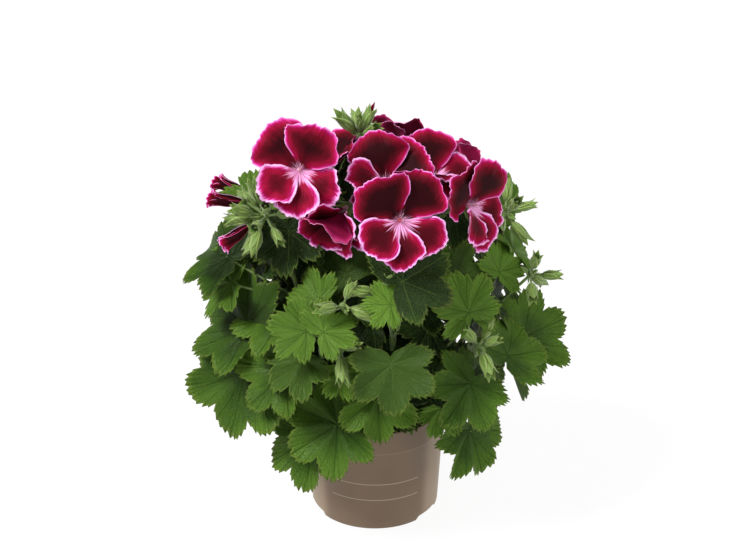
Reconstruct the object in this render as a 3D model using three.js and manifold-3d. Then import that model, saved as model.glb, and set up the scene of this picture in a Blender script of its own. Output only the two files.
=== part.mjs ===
// A regal pelargonium in flower, in a thin plastic nursery pot.
// Millimetres, +Z up. The origin is the middle of the pot's underside, and -Y is the plant's front.
// The plant is twelve leafy stems that stand in holes in the growing medium. Each stem carries its own
// leaves, flower stalks, calyces and closed buds. Every open flower is a piece of its own, seated in a
// calyx, and so is every bud that has begun to open.
import * as THREE from 'three';
import { mergeVertices } from 'three/addons/utils/BufferGeometryUtils.js';
import Module from 'manifold-3d';

const wasm = await Module();
wasm.setup();

// Driving dimensions
const pot = {
  rimRadius: 60,
  footRadius: 54,
  height: 95,
  wall: 1.2,
  bandHeight: 21, // the wider band under the rim, which nests in the pot above
  bandStep: 0.8,
  stepRise: 1, // the height of the slope from the wall out to the band
  floorLift: 4, // how far the floor stands clear between the foot ring and the middle pad
  footWidth: 9,
  padRadius: 15,
  flare: 2, // how far the sides of the foot ring and the pad lean
  sides: 24,
  notches: { turns: [-67, 56, 176], width: 26, height: 3.5, reach: 17 }, // channels under the foot ring
  drain: { radius: 4, ring: 30, sides: 10 },
};
const soil = { top: 84, crown: 3, gap: 0.3, sides: 18, rings: [1, 0.5], crumb: [1.1, 0.8] };
const stem = { radius: 2.9, tip: 1.5, sides: 5, depth: 30, collar: 6, holeGap: 0.35, holeSides: 8 };
const petiole = {
  radius: 1.15, sides: 3, steps: 2,
  end: 0.3, reach: 0.07, // its tip's radius, and how far up the blade it ends as a share of the span
  trail: 0.3, dip: 0.2, slack: 0.4, // how it comes up from behind and below its blade
};
const umbel = { head: 4.2, stalkSteps: 2, from: 0.97, spread: 1.2 };
const pedicel = { radius: 0.8, sides: 3, steps: 3, sunk: 0.8 };
const blade = { thickness: 0.7, clearance: 0.4 };
const joinSlack = 0.14; // how far a face may move where slivers are taken out of a joined piece
const calyx = { radius: 3.1, base: 2.4, length: 5, socket: 2.2, depth: 3.8, drop: 1.2 };
const neck = { radius: 1.75, crown: 3.6, lift: 3.8, gap: 0.3 }; // stands in the calyx and holds the petals
const upperPetal = { length: 41, spread: 48, columns: [1, 2, 4, 4] };
const lowerPetal = { length: 38, spread: 34, columns: [1, 2, 3, 3] };
const petalRows = [[0.03, 0.02], [0.38, 0.56], [0.7, 1], [1, 0.64]]; // share of length, share of width
const petalCurve = { from: 48, to: 102 }; // degrees away from the way the flower faces, base and tip
const petalRuffle = { corner: 0.14, wave: 0.07, pitch: 2.6, lift: 0.05 }; // how its end rounds and frills
const petalTurns = [54, 126, 216, 270, 324]; // two upper petals and three lower, 90 being up
const upperLean = [3, -3]; // one upper petal lies in front of the other
const bud = {
  length: 19, radius: 2.9, belly: 0.42, tip: 0.3, sides: 3,
  youngest: 0.75, ageStep: 0.0625, // sizes as shares of the oldest bud
  give: 0.03, // how far a bud turns out of the way at each step of the search
};
const openingBud = [[6, 4.4, 14], [15, 3.6, 28], [23, 0.8, 42]]; // distance along it, radius and twist

const colours = { pot: 0x7d6a5a, soil: 0x1c1512, leaf: 0x4f8a34, petal: 0x8c0f2e };

// One half of a leaf's edge: the angle from the tip in degrees, and the reach as a share of the span.
// It has half of the middle lobe and two side lobes, then the notch where the stalk comes in.
const leafEdge = [
  [0, 1], [13, 0.94], [27, 0.72], [41, 0.92], [54, 0.98], [67, 0.88], [80, 0.66],
  [103, 0.87], [142, 0.48],
];
const leafRing = [-79, -27, 27, 79, 180]; // the folds between the lobes, where an inner ring has its points
const leafForm = { ring: 0.52, fold: 0.12, cup: 0.13, droop: 0.18, wave: 0.08 };

// The stems, each from its root by way of the points of its path. Turns are degrees round the plant from
// its front, positive towards +X. Every leaf is a row of numbers: the share of the stem that its stalk
// leaves from; the turn, radius and height of its joint; the turn and the rise of the way its upper face
// looks; the heading of its tip as seen from there, with 0 to the right and 90 up; and its span.
const stems = [
  {
    name: 'front_left', root: [-16, -9],
    path: [[-34, -26, 128], [-52, -40, 185], [-66, -48, 238], [-78, -54, 276]],
    leaves: [
      [0.3, -60, 119, 152, -28, 14, -97, 56],
      [0.4, -38, 112, 168, -30, 30, 184, 44],
      [0.45, -61, 115, 173, -34, 26, 165, 52],
      [0.6, -47, 92, 206, -56, 58, 176, 52],
      [0.65, -69, 121, 222, -50, 44, 212, 34],
      [0.7, -73, 120, 240, -40, 52, 172, 44],
    ],
    umbels: [{ at: [-83, -58, 284], toward: [-0.5, -0.7, 0], buds: 10, reach: 24 }],
  },
  {
    name: 'left', root: [-23, 4],
    path: [[-48, 2, 125], [-68, 0, 180], [-80, -6, 230], [-84, -12, 268]],
    leaves: [
      [0.25, -96, 112, 136, -86, 20, 205, 46],
      [0.45, -80, 108, 196, -50, 34, 150, 44],
      [0.7, -80, 108, 250, -46, 40, 120, 30],
      [0.85, -69, 96, 286, -24, 34, 125, 32],
    ],
    umbels: [{ at: [-86, -16, 280], toward: [-0.9, 0, 0.3], buds: 3, reach: 18 }],
  },
  {
    name: 'front', root: [-8, -20],
    path: [[-16, -44, 128], [-24, -52, 190], [-34, -42, 250], [-42, -34, 284]],
    leaves: [
      [0.35, -30, 110, 176, -24, 34, 232, 40],
      [0.5, -26, 117, 210, -20, 44, 178, 31],
      [0.5, -19, 118, 212, -4, 44, 36, 28],
      [0.6, -27, 94, 225, -20, 40, 172, 32],
      [0.7, -20, 68, 232, -14, 38, 138, 50],
    ],
    umbels: [
      { at: [-43, -33, 288], toward: [0, -0.6, 0.4], buds: 2, reach: 16 },
      { from: 0.6, at: [-24, -98, 228], toward: [0.1, -0.5, 0.6], buds: 3, reach: 12 },
    ],
  },
  {
    name: 'front_low', root: [-13, -32],
    path: [[-20, -58, 114], [-25, -72, 138], [-27, -82, 162], [-26, -88, 184]],
    leaves: [
      [0.42, -32, 94, 104, -34, 22, 222, 46],
      [0.5, -17, 99, 124, -18, 26, 220, 46],
      [0.6, 1, 97, 150, -2, 22, -86, 38],
      [0.85, -14, 104, 186, -10, 34, -64, 24],
    ],
    umbels: [{ at: [-26, -104, 194], toward: [0, -0.6, 0.5], buds: 3, reach: 12 }],
  },
  {
    name: 'front_middle', root: [6, -22],
    path: [[10, -42, 128], [14, -58, 180], [10, -56, 232], [6, -52, 270]],
    leaves: [
      [0.4, 6, 116, 187, 4, 30, -88, 39],
      [0.6, 11, 107, 233, 8, 36, 28, 42],
      [0.6, 6, 110, 228, -6, 30, 182, 22],
      [0.7, 22, 84, 236, 20, 30, 60, 32],
    ],
    umbels: [
      { at: [5, -50, 274], toward: [0.2, -0.5, 0.5], buds: 0, reach: 16 },
      { from: 0.65, at: [6, -96, 238], toward: [-0.2, -0.5, 0.5], buds: 3, reach: 12 },
    ],
  },
  {
    name: 'front_right', root: [18, -13],
    path: [[36, -32, 128], [50, -40, 180], [50, -34, 232], [46, -28, 266]],
    leaves: [
      [0.35, 46, 96, 150, 38, 10, -6, 56],
      [0.4, 38, 120, 160, 30, 30, 222, 40],
      [0.5, 40, 111, 210, 30, 24, 104, 34],
      [0.55, 44, 108, 212, 44, 34, 52, 28],
      [0.7, 44, 84, 242, 20, 30, 2, 42],
    ],
    umbels: [{ at: [46, -27, 270], toward: [0.6, -0.2, 0.4], buds: 2, reach: 16 }],
  },
  {
    name: 'right_low', root: [25, -24],
    path: [[46, -42, 110], [62, -52, 130], [73, -60, 152], [79, -72, 174]],
    leaves: [
      [0.42, 52, 97, 106, 44, 22, -76, 44],
      [0.5, 32, 98, 132, 30, 24, -66, 26],
      [0.75, 57, 124, 170, 38, 30, 44, 54],
    ],
    umbels: [{ at: [80, -86, 188], toward: [0.2, -0.6, 0.5], buds: 4, reach: 12 }],
  },
  {
    name: 'right', root: [26, 1],
    path: [[54, -4, 122], [80, -8, 172], [92, -10, 220], [98, -10, 256]],
    leaves: [
      [0.25, 78, 124, 166, 34, 30, 6, 44],
      [0.3, 100, 112, 130, 96, 18, -60, 46],
      [0.5, 70, 104, 222, 56, 34, 40, 30],
      [0.68, 84, 112, 236, 76, 66, 16, 34],
      [0.75, 98, 112, 264, 60, 22, 96, 32],
      [0.8, 112, 96, 236, 70, 28, 20, 33],
    ],
    umbels: [
      { at: [103, -10, 268], toward: [0.8, -0.2, 0.2], buds: 5, reach: 19 },
      { from: 0.6, at: [123, -32, 224], toward: [0.8, -0.4, -0.4], buds: 4, reach: 17 },
    ],
  },
  {
    name: 'back_right', root: [15, 16],
    path: [[38, 36, 125], [54, 50, 175], [56, 52, 220], [54, 50, 244]],
    leaves: [
      [0.2, 126, 110, 118, 126, 18, -110, 48],
      [0.35, 142, 118, 154, 142, 26, 200, 50],
      [0.45, 116, 120, 180, 110, 30, -20, 48],
      [0.55, 134, 110, 214, 130, 40, 60, 42],
      [0.7, 150, 98, 242, 150, 46, 130, 38],
    ],
    umbels: [{ at: [53, 49, 250], toward: [0.7, 0.5, 0.2], buds: 3, reach: 16 }],
  },
  {
    name: 'back', root: [-2, 25],
    path: [[-2, 48, 125], [-4, 66, 178], [0, 58, 225], [2, 48, 262]],
    leaves: [
      [0.15, 172, 108, 112, 172, 16, -70, 48],
      [0.3, -172, 120, 150, -172, 26, 205, 50],
      [0.4, 166, 122, 184, 166, 32, 15, 46],
      [0.5, -168, 112, 214, -168, 42, 130, 44],
      [0.7, 176, 92, 244, 176, 48, 80, 36],
    ],
    umbels: [{ at: [2, 46, 267], toward: [0, 0.7, 0.4], buds: 2, reach: 16 }],
  },
  {
    name: 'back_left', root: [-18, 18],
    path: [[-42, 40, 125], [-60, 54, 175], [-62, 52, 220], [-58, 46, 252]],
    leaves: [
      [0.15, -128, 110, 114, -128, 18, -60, 48],
      [0.3, -146, 120, 152, -146, 26, 200, 48],
      [0.4, -118, 120, 186, -112, 30, -10, 48],
      [0.5, -138, 112, 214, -136, 40, 100, 44],
      [0.7, -112, 104, 246, -104, 42, 60, 36],
    ],
    umbels: [{ at: [-57, 44, 257], toward: [-0.6, 0.6, 0.2], buds: 4, reach: 18 }],
  },
  {
    name: 'middle', root: [0, 3],
    path: [[0, 5, 140], [-4, 2, 220], [-10, -4, 290], [-12, -9, 328]],
    leaves: [
      [0.2, -36, 34, 150, -30, 40, -90, 34],
      [0.25, 34, 34, 160, 30, 40, -90, 34],
      [0.35, -4, 36, 206, 0, 40, -90, 34],
      [0.4, -80, 34, 214, -80, 40, -90, 34],
    ],
    umbels: [{ at: [-12, -10, 333], toward: [0.05, -0.1, 0.95], buds: 5, reach: 9, spread: 0.6 }],
  },
];

// The open flowers: the stem, the middle of the throat, the way it faces, the turn of its petals about
// that way in degrees, and how far they are folded forward from their full opening.
const flowers = [
  { stem: 'front', at: [-56, -60, 322], face: [-0.2, -0.9, 0.35], turn: 6, folded: 2 },
  { stem: 'front_middle', at: [18, -95, 296], face: [0.08, -0.93, 0.3], turn: 2, folded: 0 },
  { stem: 'front_right', at: [70, -50, 290], face: [0.75, -0.6, 0.1], turn: 8, folded: 4 },
  { stem: 'front_middle', at: [8, -48, 306], face: [-0.1, -0.72, 0.62], turn: -20, folded: 4 },
  { stem: 'front_right', at: [44, -12, 296], face: [0.25, -0.45, 0.85], turn: 30, folded: 6 },
  { stem: 'front', at: [-36, 0, 298], face: [-0.3, -0.05, 0.9], turn: -20, folded: 4 },
  { stem: 'front', at: [-22, -60, 292], face: [-0.5, -0.6, -0.35], turn: 20, folded: 27 },
  { stem: 'back', at: [20, 34, 304], face: [0.25, 0.3, 0.9], turn: 12, folded: 8 },
  { stem: 'back_right', at: [72, 46, 268], face: [0.75, 0.6, 0.3], turn: 0, folded: 4 },
  { stem: 'back', at: [6, 84, 272], face: [0.05, 0.9, 0.4], turn: -8, folded: 2 },
  { stem: 'back_left', at: [-66, 56, 276], face: [-0.6, 0.6, 0.5], turn: 10, folded: 4 },
];
const openingBuds = [
  { stem: 'front_left', at: [-103, -52, 294], face: [-0.95, -0.1, 0.15], turn: 0 },
  { stem: 'front_left', at: [-98, -66, 278], face: [-0.75, -0.5, -0.4], turn: 20 },
  { stem: 'left', at: [-104, -8, 286], face: [-0.9, 0.1, 0.3], turn: 0 },
];

const degrees = Math.PI / 180;
const goldenAngle = Math.PI * (3 - Math.sqrt(5));
const up = new THREE.Vector3(0, 0, 1);
const vec = (p) => new THREE.Vector3(...p);

// Solids
function solidFrom(points, triangles) {
  const vertProperties = new Float32Array(points.length * 3);
  points.forEach((p, i) => vertProperties.set([p.x, p.y, p.z], i * 3));
  const triVerts = new Uint32Array(triangles.flat());
  return new wasm.Manifold(new wasm.Mesh({ numProp: 3, vertProperties, triVerts }));
}

function solidOf(geometry) {
  const bare = new THREE.BufferGeometry().setAttribute('position', geometry.getAttribute('position'));
  if (geometry.index) bare.setIndex(geometry.index);
  const merged = mergeVertices(bare, 1e-4);
  const vertProperties = new Float32Array(merged.attributes.position.array);
  const triVerts = new Uint32Array(merged.index.array);
  return new wasm.Manifold(new wasm.Mesh({ numProp: 3, vertProperties, triVerts }));
}

function geometryOf(solid) {
  const mesh = solid.getMesh();
  const positions = new Float32Array(mesh.numVert * 3);
  for (let i = 0; i < mesh.numVert; i++) {
    positions.set(mesh.vertProperties.subarray(i * mesh.numProp, i * mesh.numProp + 3), i * 3);
  }
  return new THREE.BufferGeometry()
    .setAttribute('position', new THREE.BufferAttribute(positions, 3))
    .setIndex(new THREE.BufferAttribute(new Uint32Array(mesh.triVerts), 1));
}

// A closed solid over rings of points that are stacked along an axis, all with the same count.
function stacked(rings) {
  const sides = rings[0].length;
  const last = (rings.length - 1) * sides;
  const triangles = [];
  for (let start = 0; start < last; start += sides) {
    for (let j = 0; j < sides; j++) {
      const a = start + j;
      const b = start + ((j + 1) % sides);
      triangles.push([a, b, b + sides], [a, b + sides, a + sides]);
    }
  }
  for (let j = 1; j < sides - 1; j++) {
    triangles.push([0, j + 1, j], [last, last + j, last + j + 1]);
  }
  return solidFrom(rings.flat(), triangles);
}

// A closed tube along a curve, with a section at each of some shares of the way. The sections keep their
// turn from one to the next.
function tubeAt(curve, sides, shares, radiusAt) {
  const start = curve.getTangentAt(shares[0]);
  const normal = Math.abs(start.z) > 0.9 ? new THREE.Vector3(1, 0, 0) : up.clone();
  return stacked(shares.map((share) => {
    const tangent = curve.getTangentAt(share);
    normal.addScaledVector(tangent, -normal.dot(tangent)).normalize();
    const binormal = tangent.clone().cross(normal);
    return Array.from({ length: sides }, (_, j) => {
      const angle = (2 * Math.PI * j) / sides;
      return curve.getPointAt(share)
        .addScaledVector(normal, radiusAt(share) * Math.cos(angle))
        .addScaledVector(binormal, radiusAt(share) * Math.sin(angle));
    });
  }));
}

const tube = (curve, sides, steps, radiusAt) =>
  tubeAt(curve, sides, Array.from({ length: steps + 1 }, (_, i) => i / steps), radiusAt);
const straightTube = (a, b, sides, radiusA, radiusB) =>
  tube(new THREE.LineCurve3(a, b), sides, 1, (t) => radiusA + (radiusB - radiusA) * t);

// A blade's frame: the way to its tip, the way its upper face looks, and the way across.
function frameOf(origin, along, out) {
  const tip = along.clone().normalize();
  const across = out.clone().cross(tip).normalize();
  return { origin, along: tip, across, out: tip.clone().cross(across).normalize() };
}

function bent(frame, [, lift, pitch, roll]) {
  const turned = (v) => v.clone()
    .applyAxisAngle(frame.across, pitch * degrees)
    .applyAxisAngle(frame.along, roll * degrees);
  return frameOf(frame.origin.clone().addScaledVector(up, lift), turned(frame.along), turned(frame.out));
}

function placed(frame, u, v, w) {
  return frame.origin.clone()
    .addScaledVector(frame.along, u)
    .addScaledVector(frame.across, v)
    .addScaledVector(frame.out, w);
}

// A thin closed blade from its two faces, which have the same triangles, and its outline.
function bladeSolid(top, under, faces, outline) {
  const n = top.length;
  const triangles = [...faces, ...faces.map(([a, b, c]) => [a + n, c + n, b + n])];
  outline.forEach((a, i) => {
    const b = outline[(i + 1) % outline.length];
    triangles.push([a, a + n, b + n], [a, b + n, b]);
  });
  return solidFrom([...top, ...under], triangles);
}

// The triangles between two rows of points, both walked in the same sense by their place along the row.
function band(inner, outer) {
  const faces = [];
  let i = 0;
  let j = 0;
  while (i < outer.length - 1 || j < inner.length - 1) {
    const alongOuter = i < outer.length - 1
      && (j === inner.length - 1 || outer[i + 1].at + outer[i].at < inner[j + 1].at + inner[j].at);
    faces.push([inner[j].id, outer[i].id, alongOuter ? outer[i + 1].id : inner[j + 1].id]);
    if (alongOuter) i++;
    else j++;
  }
  return faces;
}

// Leaves: palmate blades, folded along their veins, cupped, and drooping towards the tip
function leafHeight(u, v, span, phase) {
  const reach = Math.hypot(u, v) / span;
  const angle = Math.atan2(v, u);
  const fold = -Math.cos((Math.abs(angle) / degrees) * (2 * Math.PI / 53));
  return span * (leafForm.fold * reach * fold
    + leafForm.cup * reach ** 2
    - leafForm.droop * Math.max(0, u / span) ** 2
    + leafForm.wave * reach ** 2 * Math.sin(2 * angle + phase));
}

function leafReach(angle) {
  const a = Math.abs(angle);
  const next = leafEdge.findIndex(([b]) => b >= a);
  if (next < 1) return leafEdge.at(next)[1];
  const [[a0, r0], [a1, r1]] = [leafEdge[next - 1], leafEdge[next]];
  return r0 + ((r1 - r0) * (a - a0)) / (a1 - a0);
}

function leafPoint([angle, share], span, phase) {
  const u = span * share * Math.cos(angle * degrees);
  const v = span * share * Math.sin(angle * degrees);
  return [u, v, leafHeight(u, v, span, phase)];
}

const leafFolds = leafRing.map((angle) => [angle, leafForm.ring * leafReach(angle)]);

// Where a stalk ends in the flat of the middle lobe, a little way from the joint.
function leafFoot(span, phase) {
  const [[u, , a], [, , b]] = leafFolds.slice(1, 3).map((fold) => leafPoint(fold, span, phase));
  const share = petiole.reach * span / u;
  return [share * u, 0, (share * (a + b)) / 2];
}

function leafSolid(frame, span, phase, thickness) {
  const edge = [...leafEdge.slice(1).map(([a, r]) => [-a, r]).reverse(), ...leafEdge];
  const point = (place) => leafPoint(place, span, phase);
  const ring = leafFolds;
  const flat = [[0, 0, 0], ...ring.map(point), ...edge.map(point)];
  const fan = ring.map((_, i) => [0, 1 + i, 1 + ((i + 1) % ring.length)]);
  const inner = [{ at: -180, id: ring.length }, ...ring.map(([angle], i) => ({ at: angle, id: 1 + i }))];
  const outer = edge.map(([angle], i) => ({ at: angle, id: 1 + ring.length + i }));
  const notch = [inner[0].id, outer.at(-1).id, outer[0].id];
  const [top, under] = [thickness / 2, -thickness / 2]
    .map((lift) => flat.map(([u, v, w]) => placed(frame, u, v, w + lift)));
  return bladeSolid(top, under, [...fan, ...band(inner, outer), notch], outer.map((o) => o.id));
}

// The unit vector at a turn round the plant from its front and a rise above level.
const lookAt = (turn, rise) => new THREE.Vector3(
  Math.sin(turn * degrees) * Math.cos(rise * degrees),
  -Math.cos(turn * degrees) * Math.cos(rise * degrees),
  Math.sin(rise * degrees),
);

function leafFrame([, turn, radius, height, facing, rise, heading]) {
  const joint = lookAt(turn, 0).multiplyScalar(radius).setZ(height);
  const out = lookAt(facing, rise);
  const right = up.clone().cross(out).normalize();
  const along = right.clone().multiplyScalar(Math.cos(heading * degrees))
    .addScaledVector(out.clone().cross(right), Math.sin(heading * degrees));
  return frameOf(joint, along, out);
}

// Petals: fans on a narrow claw that curve back from the throat, with a ruffled edge
function petalSolid(throat, face, radial, petal, { fold, size, phase, thickness }) {
  const { corner, wave, pitch, lift: liftOfSides } = petalRuffle;
  const across = face.clone().cross(radial).normalize();
  const length = petal.length * size;
  const top = [];
  const under = [];
  const rows = petalRows.map(([share, width], row) => {
    const columns = petal.columns[row];
    return Array.from({ length: columns + 1 }, (_, i) => {
      const side = (2 * i) / columns - 1;
      const s = share * (1 - corner * side * side);
      const lean = (petalCurve.from + ((petalCurve.to - petalCurve.from) * s) / 2 - fold) * degrees;
      const out = radial.clone().multiplyScalar(-Math.cos(lean)).addScaledVector(face, Math.sin(lean));
      const ruffle = wave * Math.sin(pitch * side + phase) + liftOfSides * side * side;
      const point = throat.clone()
        .addScaledVector(radial, length * s * Math.sin(lean))
        .addScaledVector(face, length * s * Math.cos(lean))
        .addScaledVector(across, (side * width * size * petal.spread) / 2)
        .addScaledVector(out, length * s * s * ruffle);
      top.push(point.clone().addScaledVector(out, thickness / 2));
      under.push(point.clone().addScaledVector(out, -thickness / 2));
      return { at: side, id: top.length - 1 };
    });
  });
  const faces = rows.slice(1).flatMap((row, i) => band(rows[i], row));
  const sideways = rows.map((row) => row[0].id);
  const back = rows.map((row) => row.at(-1).id).reverse();
  const end = rows.at(-1).slice(1, -1).map((p) => p.id);
  return bladeSolid(top, under, faces, [...sideways, ...end, ...back]);
}

const bodies = new Map(); // the solids of each piece, by its name
const add = (name, solid) => bodies.set(name, [...(bodies.get(name) ?? []), solid]);

// What already stands, and which piece it belongs to. A candidate is clear when it meets none of it.
const standing = [];
function stand(owner, solid) {
  standing.push({ owner, solid, box: solid.boundingBox() });
}
function isClear(owner, solid, mayCross) {
  const { min, max } = solid.boundingBox();
  return standing.every((other) => mayCross(other)
    || [0, 1, 2].some((k) => other.box.min[k] > max[k] || other.box.max[k] < min[k])
    || other.solid.intersect(solid).isEmpty());
}

// The first choice that is clear of all that stands, apart from the solids that it grows from, and that the
// rest of the piece can follow. Where there is none, it may also cross its own piece, which it is fused to.
function firstClear(owner, choices, make, roots, follows = () => true) {
  const mayCross = [(other) => roots.includes(other.solid), (other) => other.owner === owner];
  for (const may of mayCross) {
    const clear = (choice) => isClear(owner, make(choice, blade.clearance), may) && follows(choice);
    const choice = choices.find(clear);
    if (choice) return choice;
  }
  return null;
}

function grow(owner, label, choices, make, roots, follows) {
  const choice = firstClear(owner, choices, make, roots, follows);
  if (!choice) throw new Error(`no clear place for ${label} of ${owner}`);
  const solid = make(choice, 0);
  stand(owner, solid);
  add(owner, solid);
  return choice;
}

// What a blade or a stalk may try, from the smallest change to the largest.
const withEach = (rows, list) => rows.flatMap((row) => list.map((x) => [...row, x]));
const allOf = (...lists) => lists.reduce(withEach, [[]]);
const bends = [0, 8, -8, 16, -16, 26, -26];
const bendCost = ([size, lift, pitch, roll]) =>
  9 * (1 - size) + Math.abs(lift) / 5 + (Math.abs(pitch) + Math.abs(roll)) / 8;
const bendChoices = allOf([1, 0.88, 0.76], [0, 6, -6, 12, -12, 18], bends, bends)
  .filter((choice) => bendCost(choice) < 7)
  .sort((a, b) => bendCost(a) - bendCost(b));
const swayChoices = allOf([0, 7, -7, 14, -14, 22, -22, 32, -32, 44, -44], [0, 10, -10, 20, -20]);
const foldChoices = allOf([1, 0.88, 0.76, 0.64], [0, -9, 9, 18, 27, 38]);

// Pot
const radiusAt = (z) => pot.footRadius + ((pot.rimRadius - pot.footRadius) * z) / pot.height;
function makePot() {
  const bandFoot = pot.height - pot.bandHeight;
  const wall = pot.wall;
  const outside = [
    [pot.footRadius, 0],
    [radiusAt(bandFoot) - pot.bandStep, bandFoot],
    [radiusAt(bandFoot + pot.stepRise), bandFoot + pot.stepRise],
    [pot.rimRadius, pot.height],
  ];
  const inside = [
    [pot.rimRadius - wall, pot.height],
    [radiusAt(bandFoot) - pot.bandStep - wall, bandFoot],
    [pot.footRadius - wall, pot.floorLift + wall],
    [0, pot.floorLift + wall],
  ];
  const underside = [
    [0, 0],
    [pot.padRadius, 0],
    [pot.padRadius + pot.flare, pot.floorLift],
    [pot.footRadius - pot.footWidth, pot.floorLift],
    [pot.footRadius - pot.footWidth + pot.flare, 0],
  ];
  const profile = [...underside, ...outside, ...inside].map(([r, z]) => new THREE.Vector2(r, z));
  let solid = solidOf(new THREE.LatheGeometry(profile, pot.sides).rotateX(Math.PI / 2));
  const cut = (geometry, turn, radius, z) => {
    geometry.rotateZ((turn - 90) * degrees);
    geometry.translate(radius * Math.sin(turn * degrees), -radius * Math.cos(turn * degrees), z);
    solid = solid.subtract(solidOf(geometry));
  };
  const { turns, width, height, reach } = pot.notches;
  const { radius, ring, sides } = pot.drain;
  turns.forEach((turn) => {
    const hole = new THREE.CylinderGeometry(radius, radius, pot.height / 4, sides).rotateX(Math.PI / 2);
    cut(new THREE.BoxGeometry(reach, width, 2 * height), turn, pot.footRadius, 0);
    cut(hole, turn, ring, 0);
  });
  return solid;
}

// Growing medium, with a crumbly crown and a hole for every stem. It fills the pot up to its band.
function makeSoil() {
  const floor = pot.floorLift + pot.wall + soil.gap;
  const shoulder = pot.height - pot.bandHeight - 2 * pot.stepRise;
  const brim = radiusAt(shoulder) - pot.bandStep - pot.wall - 2 * soil.gap;
  const [broad, fine] = soil.crumb;
  const crumb = (i, k) => broad * Math.sin(5.1 * i + 2.3 * k) + fine * Math.cos(3.7 * i * k + k);
  const points = [new THREE.Vector3(0, 0, floor), new THREE.Vector3(0, 0, soil.top + soil.crown)];
  const circle = (radius, z, k) => {
    const first = points.length;
    for (let i = 0; i < soil.sides; i++) {
      const angle = (2 * Math.PI * i) / soil.sides;
      const lift = k ? crumb(i, k) : 0;
      points.push(new THREE.Vector3(radius * Math.cos(angle), radius * Math.sin(angle), z + lift));
    }
    return first;
  };
  const circles = [circle(pot.footRadius - pot.wall - 2 * soil.gap, floor, 0), circle(brim, shoulder, 0)];
  soil.rings.forEach((share, k) => {
    circles.push(circle(brim * share, soil.top + soil.crown * (1 - share * share), k + 1));
  });
  const triangles = [];
  for (let i = 0; i < soil.sides; i++) {
    const next = (i + 1) % soil.sides;
    triangles.push([0, circles[0] + next, circles[0] + i]);
    circles.slice(1).forEach((upper, k) => {
      const lower = circles[k];
      triangles.push([lower + i, lower + next, upper + next], [lower + i, upper + next, upper + i]);
    });
    triangles.push([1, circles.at(-1) + i, circles.at(-1) + next]);
  }
  return solidFrom(points, triangles);
}

// Stems
function stemCurve({ root, path }) {
  const foot = new THREE.Vector3(...root, soil.top - stem.depth);
  const collar = new THREE.Vector3(...root, soil.top + stem.collar);
  return new THREE.CatmullRomCurve3([foot, collar, ...path.map(vec)], false, 'centripetal');
}

// A section at the foot, at the collar and at every point of the path, so that it is straight in its hole.
function stemTube(curve) {
  const perPoint = 20;
  const lengths = curve.getLengths(perPoint * (curve.points.length - 1));
  const shares = curve.points.map((_, i) => lengths[perPoint * i] / lengths.at(-1));
  return tubeAt(curve, stem.sides, shares, (t) => stem.radius + (stem.tip - stem.radius) * t);
}

const potSolid = makePot();
let soilSolid = makeSoil();
stand('pot', potSolid);
const axes = new Map();
const curves = new Map(stems.map((s) => [s.name, stemCurve(s)]));
stems.forEach(({ name, root }) => {
  const foot = new THREE.Vector3(...root, soil.top - stem.depth - soil.gap);
  const mouth = new THREE.Vector3(...root, soil.top + 2 * stem.collar);
  const radius = (stem.radius + stem.holeGap) / Math.cos(Math.PI / stem.holeSides);
  soilSolid = soilSolid.subtract(straightTube(foot, mouth, stem.holeSides, radius, radius));
  const axis = stemTube(curves.get(name));
  add(name, axis);
  stand(name, axis);
  axes.set(name, axis);
});
stand('soil', soilSolid);

// The point that the pedicels of an umbel leave from, on the end of its flower stalk.
function umbelPoint(name, { from = umbel.from, at }) {
  const start = curves.get(name).getPointAt(from);
  const end = vec(at);
  const stalk = ([side, lift], margin) => {
    const middle = start.clone().lerp(end, 0.5).add(new THREE.Vector3(side, 0, lift));
    const path = new THREE.QuadraticBezierCurve3(start, middle, end);
    return tube(path, pedicel.sides, umbel.stalkSteps, (t) => margin + stem.tip - 0.3 * t);
  };
  grow(name, 'flower stalk', swayChoices, stalk, [axes.get(name)]);
  add(name, solidOf(new THREE.OctahedronGeometry(umbel.head, 0)).translate(at));
  return end;
}
const umbelPoints = new Map(stems.map((s) => [s.name, s.umbels.map((u) => umbelPoint(s.name, u))]));

// Flowers and opening buds, each on a pedicel and in the socket of its calyx
function faceOf(flower) {
  const way = vec(flower.face).normalize();
  const right = up.clone().cross(way).normalize();
  const above = way.clone().cross(right);
  const ray = (angle) => right.clone().multiplyScalar(Math.cos((angle + flower.turn) * degrees))
    .addScaledVector(above, Math.sin((angle + flower.turn) * degrees));
  return { way, throat: vec(flower.at), ray };
}

// A solid with five sides, one for each petal, from sections across the way that a flower faces.
const petalCorners = petalTurns.map((angle, k) => {
  const next = petalTurns[(k + 1) % petalTurns.length];
  return (angle + next + (next < angle ? 360 : 0)) / 2;
});
function fiveSided({ way, throat, ray }, sections) {
  return stacked(sections.map(([lift, radius, twist = 0]) => petalCorners.map((angle) =>
    throat.clone().addScaledVector(way, lift).addScaledVector(ray(angle + twist), radius))));
}

const neckFoot = [
  [neck.gap - calyx.depth - calyx.drop, neck.radius],
  [2 * neck.gap - calyx.drop, neck.radius],
];

// A short stalk from the umbel to the base of a calyx.
function pedicelTo(name, label, from, to, way) {
  const across = way.clone().cross(to.clone().sub(from)).normalize();
  const end = to.clone().addScaledVector(way, pedicel.sunk);
  const make = ([side, lift], margin) => {
    const middle = from.clone().lerp(to, 0.5).addScaledVector(way, lift).addScaledVector(across, side);
    const path = new THREE.QuadraticBezierCurve3(from, middle, end);
    return tube(path, pedicel.sides, pedicel.steps, () => pedicel.radius + margin);
  };
  grow(name, label, swayChoices, make, bodies.get(name));
}

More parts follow.
